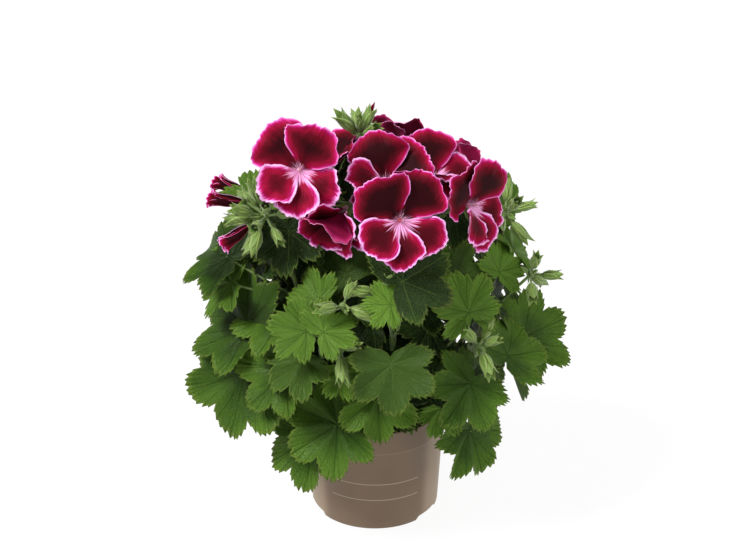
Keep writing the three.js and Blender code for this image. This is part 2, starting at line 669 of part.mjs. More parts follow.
function calyxFor(stemName, label, face) {
  const foot = -calyx.drop - calyx.length;
  const cup = fiveSided(face, [[foot, calyx.base], [-calyx.drop, calyx.radius]]);
  const socket = fiveSided(face, [[-calyx.drop - calyx.depth, calyx.socket], [0, calyx.socket]]);
  const solid = cup.subtract(socket);
  add(stemName, solid);
  stand(stemName, solid);
  const base = face.throat.clone().addScaledVector(face.way, foot);
  pedicelTo(stemName, `pedicel of ${label}`, umbelPoints.get(stemName)[0], base, face.way);
}

openingBuds.forEach((opening, index) => {
  const name = `opening_bud_${index + 1}`;
  const face = faceOf(opening);
  calyxFor(opening.stem, name, face);
  const solid = fiveSided(face, [...neckFoot, ...openingBud]);
  add(name, solid);
  stand(name, solid);
});
const hubs = flowers.map((flower, index) => {
  const name = `flower_${index + 1}`;
  const face = faceOf(flower);
  calyxFor(flower.stem, name, face);
  const hub = fiveSided(face, [...neckFoot, [neck.lift, neck.crown]]);
  add(name, hub);
  stand(name, hub);
  return hub;
});
flowers.forEach((flower, index) => {
  const name = `flower_${index + 1}`;
  const { way, throat, ray } = faceOf(flower);
  petalTurns.forEach((angle, k) => {
    const radial = ray(angle);
    const folded = flower.folded + (upperLean[k] ?? 0);
    const phase = 1.7 * k + 0.9 * index;
    const petal = k < 2 ? upperPetal : lowerPetal;
    const make = ([size, fold], margin) => petalSolid(throat, way, radial, petal,
      { fold: fold + folded, size, phase, thickness: blade.thickness + 2 * margin });
    grow(name, `petal ${k}`, foldChoices, make, [hubs[index]]);
  });
});

// Closed buds round an umbel, spread by the golden angle about the way the umbel leans
stems.forEach((s) => s.umbels.forEach(({ toward, buds, reach, spread = umbel.spread }, u) => {
  const from = umbelPoints.get(s.name)[u];
  const lean = vec(toward).normalize();
  const side = Math.abs(lean.z) > 0.8 ? new THREE.Vector3(1, 0, 0) : up.clone();
  const roots = [...bodies.get(s.name)];
  for (let i = 0; i < buds; i++) {
    const polar = Math.acos(1 - (spread * (i + 0.5)) / buds);
    const radial = side.clone().cross(lean).normalize().applyAxisAngle(lean, i * goldenAngle + u);
    const way = lean.clone().multiplyScalar(Math.cos(polar)).addScaledVector(radial, Math.sin(polar));
    const age = bud.youngest + bud.ageStep * ((7 * i) % 5); // the younger, the smaller
    const stalk = reach / 2;
    const length = stalk + bud.length * age;
    const belly = stalk + bud.belly * (length - stalk);
    const girths = [
      [0, pedicel.radius],
      [stalk, pedicel.radius],
      [belly, bud.radius * age],
      [length, bud.tip],
    ];
    const make = ([sway, lift], margin) => {
      const turned = way.clone().applyAxisAngle(lean, bud.give * sway).addScaledVector(up, bud.give * lift);
      const line = new THREE.LineCurve3(from, from.clone().addScaledVector(turned.normalize(), length));
      return tubeAt(line, bud.sides, girths.map(([at]) => at / length),
        (share) => margin + girths.find(([at]) => at / length >= share)[1]);
    };
    grow(s.name, `bud ${i}`, swayChoices, make, roots);
  }
}));

// Leaves, last, since they give way to all the rest. The stalk comes up behind the blade and ends in it.
stems.forEach((s) => s.leaves.forEach((leaf, k) => {
  const [share, turn] = leaf;
  const frame = leafFrame(leaf);
  const span = leaf.at(-1);
  const phase = 2.1 * k;
  const start = curves.get(s.name).getPointAt(share);
  const reach = start.distanceTo(frame.origin);
  const behind = frame.origin.clone()
    .addScaledVector(frame.along, -petiole.trail * reach)
    .addScaledVector(frame.out, -petiole.dip * reach)
    .lerp(start.clone().lerp(frame.origin, 0.5), petiole.slack);
  const bladeOf = (choice, margin) =>
    leafSolid(bent(frame, choice), span * choice[0], phase, blade.thickness + 2 * margin);
  const stalkOf = (choice) => ([side, lift], margin) => {
    const end = placed(bent(frame, choice), ...leafFoot(span * choice[0], phase));
    const middle = behind.clone().addScaledVector(lookAt(turn + 90, 0), side).addScaledVector(up, lift);
    const path = new THREE.QuadraticBezierCurve3(start, middle, end);
    return tube(path, petiole.sides, petiole.steps, (t) => margin + (t < 1 ? petiole.radius : petiole.end));
  };
  const roots = [axes.get(s.name)];
  const choice = grow(s.name, `leaf ${k}`, bendChoices, bladeOf, [],
    (c) => firstClear(s.name, swayChoices, stalkOf(c), roots));
  grow(s.name, `stalk ${k}`, swayChoices, stalkOf(choice), [...roots, bodies.get(s.name).at(-1)]);
}));

const materials = {};
for (const [slot, roughness] of [['pot', 0.55], ['soil', 0.95], ['leaf', 0.6], ['petal', 0.55]]) {
  materials[slot] = new THREE.MeshStandardMaterial({ color: colours[slot], roughness, metalness: 0 });
  materials[slot].name = slot;
}

const plant = new THREE.Group();
function show(name, solid, slot) {
  const mesh = new THREE.Mesh(geometryOf(solid), materials[slot]);
  mesh.name = name;
  plant.add(mesh);
}
const joined = (name) => wasm.Manifold.union(bodies.get(name)).asOriginal().simplify(joinSlack);
show('pot', potSolid, 'pot');
show('soil', soilSolid, 'soil');
stems.forEach(({ name }) => show(`stem_${name}`, joined(name), 'leaf'));
const numbered = (list, kind) => list.map((_, index) => `${kind}_${index + 1}`);
[...numbered(flowers, 'flower'), ...numbered(openingBuds, 'opening_bud')]
  .forEach((name) => show(name, joined(name), 'petal'));

export default plant;
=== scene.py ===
# A regal pelargonium in flower in its nursery pot: ruffled dark crimson blooms over toothed palmate leaves.
# The given lists and the rules of growth are the solids' own, in millimetres. Each leaf, petal, stalk
# and bud is found again in its solid, and is then made finer in the same place.
import math

import bpy
import numpy as np
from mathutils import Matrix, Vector
from mathutils.kdtree import KDTree


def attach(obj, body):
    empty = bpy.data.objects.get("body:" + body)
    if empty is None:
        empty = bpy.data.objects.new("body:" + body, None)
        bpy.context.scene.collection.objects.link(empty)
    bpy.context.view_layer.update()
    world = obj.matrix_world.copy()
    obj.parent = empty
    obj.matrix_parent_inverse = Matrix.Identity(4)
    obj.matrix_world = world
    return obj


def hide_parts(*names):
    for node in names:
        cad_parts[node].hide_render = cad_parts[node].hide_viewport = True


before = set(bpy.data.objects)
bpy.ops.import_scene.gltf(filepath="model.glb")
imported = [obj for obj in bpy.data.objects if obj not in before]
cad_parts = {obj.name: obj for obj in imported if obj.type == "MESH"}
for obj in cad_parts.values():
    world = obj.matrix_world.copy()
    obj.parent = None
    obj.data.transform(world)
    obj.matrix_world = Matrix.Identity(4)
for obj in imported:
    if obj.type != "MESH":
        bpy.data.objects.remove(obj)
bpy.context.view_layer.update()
mm = 0.001
up = np.array([0.0, 0.0, 1.0])
print("frame loaded:", len(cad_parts), "nodes")


# Vectors and curves
def vec(values):
    return np.array(values, float)


def unit(v):
    return v / np.linalg.norm(v)


def turned(v, axis, degrees):
    angle = math.radians(degrees)
    return (v * math.cos(angle) + np.cross(axis, v) * math.sin(angle)
            + axis * np.dot(axis, v) * (1 - math.cos(angle)))


def lookAt(turn, rise):  # degrees round the plant from its front, and above level
    t, r = math.radians(turn), math.radians(rise)
    return np.array([math.sin(t) * math.cos(r), -math.cos(t) * math.cos(r), math.sin(r)])


def smoothStep(x, low, high):
    t = np.clip((x - low) / (high - low), 0, 1)
    return t * t * (3 - 2 * t)


class Path:  # a curve as many short steps, looked up by the share of its length
    near = 0.004  # how far to each side its heading is taken

    def __init__(self, points):
        self.points = vec(points)
        steps = np.linalg.norm(np.diff(self.points, axis=0), axis=1)
        self.way = np.concatenate([[0], np.cumsum(steps)]) / steps.sum()

    def at(self, share):
        return np.stack([np.interp(share, self.way, self.points[:, k]) for k in range(3)], -1)

    def heading(self, share):
        return unit(self.at(min(share + self.near, 1)) - self.at(max(share - self.near, 0)))


def bend(start, middle, end, steps=48):
    t = np.linspace(0, 1, steps + 1)[:, None]
    return Path((1 - t) ** 2 * start + 2 * t * (1 - t) * middle + t ** 2 * end)


def centripetal(points, steps=40):
    points = [vec(p) for p in points]
    points = [2 * points[0] - points[1], *points, 2 * points[-1] - points[-2]]
    out = [points[1]]
    for a, b, c, d in zip(points, points[1:], points[2:], points[3:]):
        ab, bc, cd = (np.linalg.norm(q - p) ** 0.5 for p, q in ((a, b), (b, c), (c, d)))
        start = ((b - a) / ab - (c - a) / (ab + bc) + (c - b) / bc) * bc
        end = ((c - b) / bc - (d - b) / (bc + cd) + (d - c) / cd) * bc
        for t in np.linspace(0, 1, steps + 1)[1:]:
            out.append(b + start * t + (3 * (c - b) - 2 * start - end) * t ** 2
                       + (2 * (b - c) + start + end) * t ** 3)
    return Path(out)


class Blade:  # where a leaf lies: its joint, the way to its tip, the way across, and the way it looks
    def __init__(self, origin, along, out):
        self.origin = origin
        self.along = unit(along)
        self.across = unit(np.cross(out, self.along))
        self.out = np.cross(self.along, self.across)

    def at(self, u, v, w):
        return (self.origin + np.multiply.outer(u, self.along) + np.multiply.outer(v, self.across)
                + np.multiply.outer(w, self.out))

    def bent(self, choice):
        _, lift, pitch, roll = choice
        along, out = (turned(turned(v, self.across, pitch), self.along, roll)
                      for v in (self.along, self.out))
        return Blade(self.origin + lift * up, along, out)


# How each solid was built: it tried these changes in this order until it was clear of its neighbours
def withEach(lists):
    rows = [()]
    for choices in lists:
        rows = [(*row, x) for row in rows for x in choices]
    return rows


def bendCost(choice):
    size, lift, pitch, roll = choice
    return 9 * (1 - size) + abs(lift) / 5 + (abs(pitch) + abs(roll)) / 8


bends = [0, 8, -8, 16, -16, 26, -26]
dearestBend = 7
bendChoices = sorted((c for c in withEach([[1, 0.88, 0.76], [0, 6, -6, 12, -12, 18], bends, bends])
                      if bendCost(c) < dearestBend), key=bendCost)
swayChoices = withEach([[0, 7, -7, 14, -14, 22, -22, 32, -32, 44, -44], [0, 10, -10, 20, -20]])
foldChoices = withEach([[1, 0.88, 0.76, 0.64], [0, -9, 9, 18, 27, 38]])
solidMatch = 0.12  # how near its corners a shape lies when it is the one that was built
solidSides = 3  # of its stalks
misses = []


def cornersOf(node):
    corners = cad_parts[node].data.vertices
    tree = KDTree(len(corners))
    for i, corner in enumerate(corners):
        tree.insert(corner.co / mm, i)
    tree.balance()
    return tree


# The first choice whose points lie on the solid's corners, leaving out the share that other forms may hide.
def builtChoice(choices, pointsOf, corners, hidden=0.3):
    best = None
    for choice in choices:
        away = sorted(corners.find(p)[2] for p in pointsOf(choice))
        seen = away[:max(1, round(len(away) * (1 - hidden)))]
        miss = sum(seen) / len(seen)
        if best is None or miss < best[0]:
            best = (miss, choice)
        if miss < solidMatch:
            break
    misses.append(best[0])
    return best[1]


# The corners of a solid stalk's sections at some shares of its way
def tubeCorners(path, shares, radii, kept):
    heading = path.heading(0)
    normal = vec([1, 0, 0]) if abs(heading[2]) > 0.9 else up
    corners = []
    for i, (share, radius) in enumerate(zip(shares, radii)):
        heading = path.heading(share)
        normal = unit(normal - heading * np.dot(normal, heading))
        binormal = np.cross(heading, normal)
        for k in range(solidSides if i in kept else 0):
            angle = 2 * math.pi * k / solidSides
            ray = normal * math.cos(angle) + binormal * math.sin(angle)
            corners.append(path.at(share) + radius * ray)
    return corners


# Node trees: a wire is a socket that arithmetic can be done on, and each sum adds its Math node
class Wire:
    def __init__(self, tree, socket):
        self.tree = tree
        self.socket = socket

    def math(self, operation, *values):
        return self.tree.add("ShaderNodeMath", {"operation": operation}, dict(enumerate([self, *values])))

    def __add__(self, other):
        return self.math("ADD", other)

    def __sub__(self, other):
        return self.math("SUBTRACT", other)

    def __rsub__(self, other):
        return self.tree.add("ShaderNodeMath", {"operation": "SUBTRACT"}, {0: other, 1: self})

    def __mul__(self, other):
        return self.math("MULTIPLY", other)

    __radd__ = __add__
    __rmul__ = __mul__

    def from0to1(self, low, high):  # a soft step between two values
        return self.tree.add("ShaderNodeMapRange", {"interpolation_type": "SMOOTHSTEP"},
                             {"Value": self, "From Min": low, "From Max": high})

    def other(self, name):
        return Wire(self.tree, self.socket.node.outputs[name])


class Tree:
    def __init__(self, group):
        self.group = group

    def add(self, kind, settings=None, sockets=None, out=0):
        node = self.group.nodes.new(kind)
        for name, value in (settings or {}).items():
            setattr(node, name, value)
        for name, value in (sockets or {}).items():
            if isinstance(value, Wire):
                self.group.links.new(value.socket, node.inputs[name])
            else:
                node.inputs[name].default_value = value
        return Wire(self, node.outputs[out]) if len(node.outputs) else node

    def mixed(self, factor, first, second):  # colours, by a factor from 0 to 1
        return self.add("ShaderNodeMix", {"data_type": "RGBA"}, {0: factor, 6: first, 7: second}, 2)

    def parts(self, vector):
        x = self.add("ShaderNodeSeparateXYZ", sockets={0: vector})
        return x, x.other("Y"), x.other("Z")

    def split(self, name):  # the three numbers of a vector attribute
        return self.parts(self.add("ShaderNodeAttribute", {"attribute_name": name}, out=1))

    def place(self):
        return self.add("ShaderNodeTexCoord", out=3)  # Object coordinates

    def noise(self, scale, detail=3, place=None):
        return self.add("ShaderNodeTexNoise", sockets={
            "Vector": place or self.place(), "Scale": scale, "Detail": detail})

    def bump(self, strength, depth, height):
        return self.add("ShaderNodeBump", sockets={
            "Strength": strength, "Distance": depth, "Height": height})


def finishOf(name, constants, paint):  # paint returns what varies over the surface, by socket
    finish = bpy.data.materials.new(name + "Finish")
    finish.use_nodes = True
    shader = finish.node_tree.nodes["Principled BSDF"]
    for socket, value in constants.items():
        shader.inputs[socket].default_value = value
    for socket, wire in paint(Tree(finish.node_tree)).items():
        finish.node_tree.links.new(wire.socket, shader.inputs[socket])
    return finish


def srgb(*colour):  # red, green and blue as a paint program gives them, 0 to 255
    return (*(((c / 255 + 0.055) / 1.055) ** 2.4 if c > 10 else c / 255 / 12.92 for c in colour), 1)


# The plant's own lists. A stem goes from its root by way of the points of its path. Turns are degrees
# round the plant from its front, positive towards +X. Every leaf is a row of numbers: the share of the stem
# that its stalk leaves from; the turn, radius and height of its joint; the turn and the rise of the way its
# upper face looks; the heading of its tip as seen from there, with 0 to the right and 90 up; and its span.
stems = [
  {
    "name": "front_left", "root": [-16, -9],
    "path": [[-34, -26, 128], [-52, -40, 185], [-66, -48, 238], [-78, -54, 276]],
    "leaves": [
      [0.3, -60, 119, 152, -28, 14, -97, 56],
      [0.4, -38, 112, 168, -30, 30, 184, 44],
      [0.45, -61, 115, 173, -34, 26, 165, 52],
      [0.6, -47, 92, 206, -56, 58, 176, 52],
      [0.65, -69, 121, 222, -50, 44, 212, 34],
      [0.7, -73, 120, 240, -40, 52, 172, 44],
    ],
    "umbels": [{"at": [-83, -58, 284], "toward": [-0.5, -0.7, 0], "buds": 10, "reach": 24}],
  },
  {
    "name": "left", "root": [-23, 4],
    "path": [[-48, 2, 125], [-68, 0, 180], [-80, -6, 230], [-84, -12, 268]],
    "leaves": [
      [0.25, -96, 112, 136, -86, 20, 205, 46],
      [0.45, -80, 108, 196, -50, 34, 150, 44],
      [0.7, -80, 108, 250, -46, 40, 120, 30],
      [0.85, -69, 96, 286, -24, 34, 125, 32],
    ],
    "umbels": [{"at": [-86, -16, 280], "toward": [-0.9, 0, 0.3], "buds": 3, "reach": 18}],
  },
  {
    "name": "front", "root": [-8, -20],
    "path": [[-16, -44, 128], [-24, -52, 190], [-34, -42, 250], [-42, -34, 284]],
    "leaves": [
      [0.35, -30, 110, 176, -24, 34, 232, 40],
      [0.5, -26, 117, 210, -20, 44, 178, 31],
      [0.5, -19, 118, 212, -4, 44, 36, 28],
      [0.6, -27, 94, 225, -20, 40, 172, 32],
      [0.7, -20, 68, 232, -14, 38, 138, 50],
    ],
    "umbels": [
      {"at": [-43, -33, 288], "toward": [0, -0.6, 0.4], "buds": 2, "reach": 16},
      {"from": 0.6, "at": [-24, -98, 228], "toward": [0.1, -0.5, 0.6], "buds": 3, "reach": 12},
    ],
  },
  {
    "name": "front_low", "root": [-13, -32],
    "path": [[-20, -58, 114], [-25, -72, 138], [-27, -82, 162], [-26, -88, 184]],
    "leaves": [
      [0.42, -32, 94, 104, -34, 22, 222, 46],
      [0.5, -17, 99, 124, -18, 26, 220, 46],
      [0.6, 1, 97, 150, -2, 22, -86, 38],
      [0.85, -14, 104, 186, -10, 34, -64, 24],
    ],
    "umbels": [{"at": [-26, -104, 194], "toward": [0, -0.6, 0.5], "buds": 3, "reach": 12}],
  },
  {
    "name": "front_middle", "root": [6, -22],
    "path": [[10, -42, 128], [14, -58, 180], [10, -56, 232], [6, -52, 270]],
    "leaves": [
      [0.4, 6, 116, 187, 4, 30, -88, 39],
      [0.6, 11, 107, 233, 8, 36, 28, 42],
      [0.6, 6, 110, 228, -6, 30, 182, 22],
      [0.7, 22, 84, 236, 20, 30, 60, 32],
    ],
    "umbels": [
      {"at": [5, -50, 274], "toward": [0.2, -0.5, 0.5], "buds": 0, "reach": 16},
      {"from": 0.65, "at": [6, -96, 238], "toward": [-0.2, -0.5, 0.5], "buds": 3, "reach": 12},
    ],
  },
  {
    "name": "front_right", "root": [18, -13],
    "path": [[36, -32, 128], [50, -40, 180], [50, -34, 232], [46, -28, 266]],
    "leaves": [
      [0.35, 46, 96, 150, 38, 10, -6, 56],
      [0.4, 38, 120, 160, 30, 30, 222, 40],
      [0.5, 40, 111, 210, 30, 24, 104, 34],
      [0.55, 44, 108, 212, 44, 34, 52, 28],
      [0.7, 44, 84, 242, 20, 30, 2, 42],
    ],
    "umbels": [{"at": [46, -27, 270], "toward": [0.6, -0.2, 0.4], "buds": 2, "reach": 16}],
  },
  {
    "name": "right_low", "root": [25, -24],
    "path": [[46, -42, 110], [62, -52, 130], [73, -60, 152], [79, -72, 174]],
    "leaves": [
      [0.42, 52, 97, 106, 44, 22, -76, 44],
      [0.5, 32, 98, 132, 30, 24, -66, 26],
      [0.75, 57, 124, 170, 38, 30, 44, 54],
    ],
    "umbels": [{"at": [80, -86, 188], "toward": [0.2, -0.6, 0.5], "buds": 4, "reach": 12}],
  },
  {
    "name": "right", "root": [26, 1],
    "path": [[54, -4, 122], [80, -8, 172], [92, -10, 220], [98, -10, 256]],
    "leaves": [
      [0.25, 78, 124, 166, 34, 30, 6, 44],
      [0.3, 100, 112, 130, 96, 18, -60, 46],
      [0.5, 70, 104, 222, 56, 34, 40, 30],
      [0.68, 84, 112, 236, 76, 66, 16, 34],
      [0.75, 98, 112, 264, 60, 22, 96, 32],
      [0.8, 112, 96, 236, 70, 28, 20, 33],
    ],
    "umbels": [
      {"at": [103, -10, 268], "toward": [0.8, -0.2, 0.2], "buds": 5, "reach": 19},
      {"from": 0.6, "at": [123, -32, 224], "toward": [0.8, -0.4, -0.4], "buds": 4, "reach": 17},
    ],
  },
  {
    "name": "back_right", "root": [15, 16],
    "path": [[38, 36, 125], [54, 50, 175], [56, 52, 220], [54, 50, 244]],
    "leaves": [
      [0.2, 126, 110, 118, 126, 18, -110, 48],
      [0.35, 142, 118, 154, 142, 26, 200, 50],
      [0.45, 116, 120, 180, 110, 30, -20, 48],
      [0.55, 134, 110, 214, 130, 40, 60, 42],
      [0.7, 150, 98, 242, 150, 46, 130, 38],
    ],
    "umbels": [{"at": [53, 49, 250], "toward": [0.7, 0.5, 0.2], "buds": 3, "reach": 16}],
  },
  {
    "name": "back", "root": [-2, 25],
    "path": [[-2, 48, 125], [-4, 66, 178], [0, 58, 225], [2, 48, 262]],
    "leaves": [
      [0.15, 172, 108, 112, 172, 16, -70, 48],
      [0.3, -172, 120, 150, -172, 26, 205, 50],
      [0.4, 166, 122, 184, 166, 32, 15, 46],
      [0.5, -168, 112, 214, -168, 42, 130, 44],
      [0.7, 176, 92, 244, 176, 48, 80, 36],
    ],
    "umbels": [{"at": [2, 46, 267], "toward": [0, 0.7, 0.4], "buds": 2, "reach": 16}],
  },
  {
    "name": "back_left", "root": [-18, 18],
    "path": [[-42, 40, 125], [-60, 54, 175], [-62, 52, 220], [-58, 46, 252]],
    "leaves": [
      [0.15, -128, 110, 114, -128, 18, -60, 48],
      [0.3, -146, 120, 152, -146, 26, 200, 48],
      [0.4, -118, 120, 186, -112, 30, -10, 48],
      [0.5, -138, 112, 214, -136, 40, 100, 44],
      [0.7, -112, 104, 246, -104, 42, 60, 36],
    ],
    "umbels": [{"at": [-57, 44, 257], "toward": [-0.6, 0.6, 0.2], "buds": 4, "reach": 18}],
  },
  {
    "name": "middle", "root": [0, 3],
    "path": [[0, 5, 140], [-4, 2, 220], [-10, -4, 290], [-12, -9, 328]],
    "leaves": [
      [0.2, -36, 34, 150, -30, 40, -90, 34],
      [0.25, 34, 34, 160, 30, 40, -90, 34],
      [0.35, -4, 36, 206, 0, 40, -90, 34],
      [0.4, -80, 34, 214, -80, 40, -90, 34],
    ],
    "umbels": [{"at": [-12, -10, 333], "toward": [0.05, -0.1, 0.95], "buds": 5, "reach": 9, "spread": 0.6}],
  },
]

# The open flowers: the stem, the middle of the throat, the way it faces, the turn of its petals about
# that way in degrees, and how far they are folded forward from their full opening.
flowers = [
  {"stem": "front", "at": [-56, -60, 322], "face": [-0.2, -0.9, 0.35], "turn": 6, "folded": 2},
  {"stem": "front_middle", "at": [18, -95, 296], "face": [0.08, -0.93, 0.3], "turn": 2, "folded": 0},
  {"stem": "front_right", "at": [70, -50, 290], "face": [0.75, -0.6, 0.1], "turn": 8, "folded": 4},
  {"stem": "front_middle", "at": [8, -48, 306], "face": [-0.1, -0.72, 0.62], "turn": -20, "folded": 4},
  {"stem": "front_right", "at": [44, -12, 296], "face": [0.25, -0.45, 0.85], "turn": 30, "folded": 6},
  {"stem": "front", "at": [-36, 0, 298], "face": [-0.3, -0.05, 0.9], "turn": -20, "folded": 4},
  {"stem": "front", "at": [-22, -60, 292], "face": [-0.5, -0.6, -0.35], "turn": 20, "folded": 27},
  {"stem": "back", "at": [20, 34, 304], "face": [0.25, 0.3, 0.9], "turn": 12, "folded": 8},
  {"stem": "back_right", "at": [72, 46, 268], "face": [0.75, 0.6, 0.3], "turn": 0, "folded": 4},
  {"stem": "back", "at": [6, 84, 272], "face": [0.05, 0.9, 0.4], "turn": -8, "folded": 2},
  {"stem": "back_left", "at": [-66, 56, 276], "face": [-0.6, 0.6, 0.5], "turn": 10, "folded": 4},
]
openingBuds = [
  {"stem": "front_left", "at": [-103, -52, 294], "face": [-0.95, -0.1, 0.15], "turn": 0},
  {"stem": "front_left", "at": [-98, -66, 278], "face": [-0.75, -0.5, -0.4], "turn": 20},
  {"stem": "left", "at": [-104, -8, 286], "face": [-0.9, 0.1, 0.3], "turn": 0},
]


# The forms that the solids were built by
stemForm = {"radius": 2.9, "tip": 1.5, "foot": 54, "collar": 90}
leafStalk = {"radius": 1.15, "end": 0.3, "reach": 0.07, "trail": 0.3, "dip": 0.2, "slack": 0.4}
flowerStalk = {"from": 0.97, "radius": 1.5, "tip": 1.2}
pedicel = {"radius": 0.8, "base": -6.2, "sunk": 0.8}
leafEdge = [[0, 1], [13, 0.94], [27, 0.72], [41, 0.92], [54, 0.98], [67, 0.88], [80, 0.66],
            [103, 0.87], [142, 0.48]]
leafFolds = [-79, -27, 27, 79, 180]
leafForm = {"lobe": 53, "ring": 0.52, "fold": 0.12, "cup": 0.13, "droop": 0.18, "wave": 0.08,
            "thickness": 0.7}
upperPetal = {"length": 41, "spread": 48, "columns": [1, 2, 4, 4]}
lowerPetal = {"length": 38, "spread": 34, "columns": [1, 2, 3, 3]}
petalRows = [[0.03, 0.02], [0.38, 0.56], [0.7, 1], [1, 0.64]]
petalForm = {"from": 48, "to": 102, "corner": 0.14, "wave": 0.07, "pitch": 2.6, "lift": 0.05,
             "phases": [1.7, 0.9]}  # how much further the wave is on each petal, and on each flower
petalTurns = [54, 126, 216, 270, 324]
upperLean = [3, -3, 0, 0, 0]
budForm = {"length": 19, "radius": 2.9, "belly": 0.42, "spread": 1.2, "sway": 0.03,
           "ages": [0.75, 0.875, 1, 0.8125, 0.9375]}  # over and over
goldenAngle = math.pi * (3 - math.sqrt(5))


# Finishes
leafFinish = {
    # deep is the darkest green, which the painted shade and the darker patches mix in
    "deep": srgb(22, 38, 11), "green": srgb(44, 69, 17), "bright": srgb(80, 112, 31),
    "young": srgb(94, 129, 42), "under": srgb(80, 102, 54), "pale": srgb(98, 128, 62),
    # the dark vein green below is painted shade in the sunk grooves of the veins
    "paintedVeinShade": srgb(26, 48, 10), "dryEdge": srgb(124, 136, 58),
    "mainVein": 0.014, "sideVein": 0.88, "cells": 430,
}


def paintLeaf(tree):
    look = leafFinish
    u, v, face = tree.split("blade")  # across the blade in shares of its span, and 1 above or -1 below
    # the tint holds how light each leaf is drawn, with painted light and shade by stem and in the heart
    youth, tintAndPaintedLight, edge = tree.split("tone")
    away, tooth, share = tree.split("veins")  # from the main vein; 0 in a notch, 1 at a tooth; along it
    mainVein = 1 - away.from0to1(look["mainVein"] * 0.35, look["mainVein"])
    sideVein = tooth.from0to1(look["sideVein"], 0.99) * share.from0to1(0.16, 0.4)
    veins = mainVein.math("MAXIMUM", sideVein * 0.8)
    cell = tree.add("ShaderNodeTexVoronoi", {"feature": "DISTANCE_TO_EDGE"},
                    {"Vector": tree.place(), "Scale": look["cells"]})
    net = 1 - cell.from0to1(0.0, 0.12)
    # lighter towards the edge and in patches; the darker middle by the joint is painted shade
    reach = (u * u + v * v).math("SQRT")
    light = tree.noise(30).from0to1(0.34, 0.66) * 0.4 + reach.from0to1(0.12, 0.9) * 0.7 + (tintAndPaintedLight - 0.8) * 0.7
    body = tree.mixed((light * 1.3).from0to1(0.0, 0.55), look["deep"], look["green"])
    body = tree.mixed(light.from0to1(0.35, 1.1) * 0.75, body, look["bright"])
    body = tree.mixed(youth, body, look["young"])
    body = tree.mixed(edge.from0to1(0.9, 1.0) * 0.34, body, look["dryEdge"])
    # the veins and their fine network: pale on the darkest leaves, and on the others a dark painted shade in
    # their sunk grooves
    line = tree.mixed(tintAndPaintedLight.from0to1(0.0, 0.35).math("MAXIMUM", youth), look["pale"], look["paintedVeinShade"])
    body = tree.mixed((veins * 0.4).math("MAXIMUM", net * 0.18), body, line)
    under = tree.mixed(youth * 0.7, look["under"], look["young"])
    under = tree.mixed((veins * 0.5).math("MAXIMUM", net * 0.2), under, look["pale"])
    above = face.from0to1(-0.2, 0.2)
    relief = 0 - veins * 1.2 - net * 0.5 + tree.noise(260, 2) * 0.5
    return {
        "Base Color": tree.mixed(above, under, body),
        "Roughness": 0.58 - above * 0.16 + tree.noise(220, 2) * 0.12,
        "Normal": tree.bump(0.8, 0.0006, relief),
    }


stalkFinish = {"green": srgb(84, 112, 44), "pale": srgb(116, 140, 64), "flush": srgb(108, 84, 52)}


def paintStalk(tree):
    body = tree.mixed(tree.noise(90).from0to1(0.35, 0.65), stalkFinish["green"], stalkFinish["pale"])
    body = tree.mixed(tree.noise(24, 2).from0to1(0.58, 0.8) * 0.5, body, stalkFinish["flush"])
    return {"Base Color": body, "Normal": tree.bump(0.3, 0.0003, tree.noise(900, 2))}


sepalFinish = {"green": srgb(98, 128, 42), "pale": srgb(144, 168, 80), "tip": srgb(120, 104, 56)}


def paintSepal(tree):
    side, share, _ = tree.split("sepal")  # -1 to 1 across it, and 0 to 1 from its foot to its tip
    rib = 1 - side.math("ABSOLUTE").from0to1(0.05, 0.3)
    edge = side.math("ABSOLUTE").from0to1(0.6, 1.0)
    body = tree.mixed(edge.math("MAXIMUM", rib * 0.5) * 0.75, sepalFinish["green"], sepalFinish["pale"])
    body = tree.mixed(share.from0to1(0.82, 1.0) * 0.6, body, sepalFinish["tip"])
    stripes = (side * 3.0).math("PINGPONG", 0.5)
    return {"Base Color": body, "Normal": tree.bump(0.4, 0.0003, stripes)}


petalFinish = {
    "margin": srgb(247, 186, 236), "pink": srgb(228, 84, 176), "magenta": srgb(176, 18, 94),
    "crimson": srgb(147, 12, 50), "maroon": srgb(96, 10, 27), "blotch": srgb(38, 6, 10),
    "throat": srgb(242, 176, 224), "throatLine": srgb(168, 22, 96), "back": srgb(190, 70, 120),
}


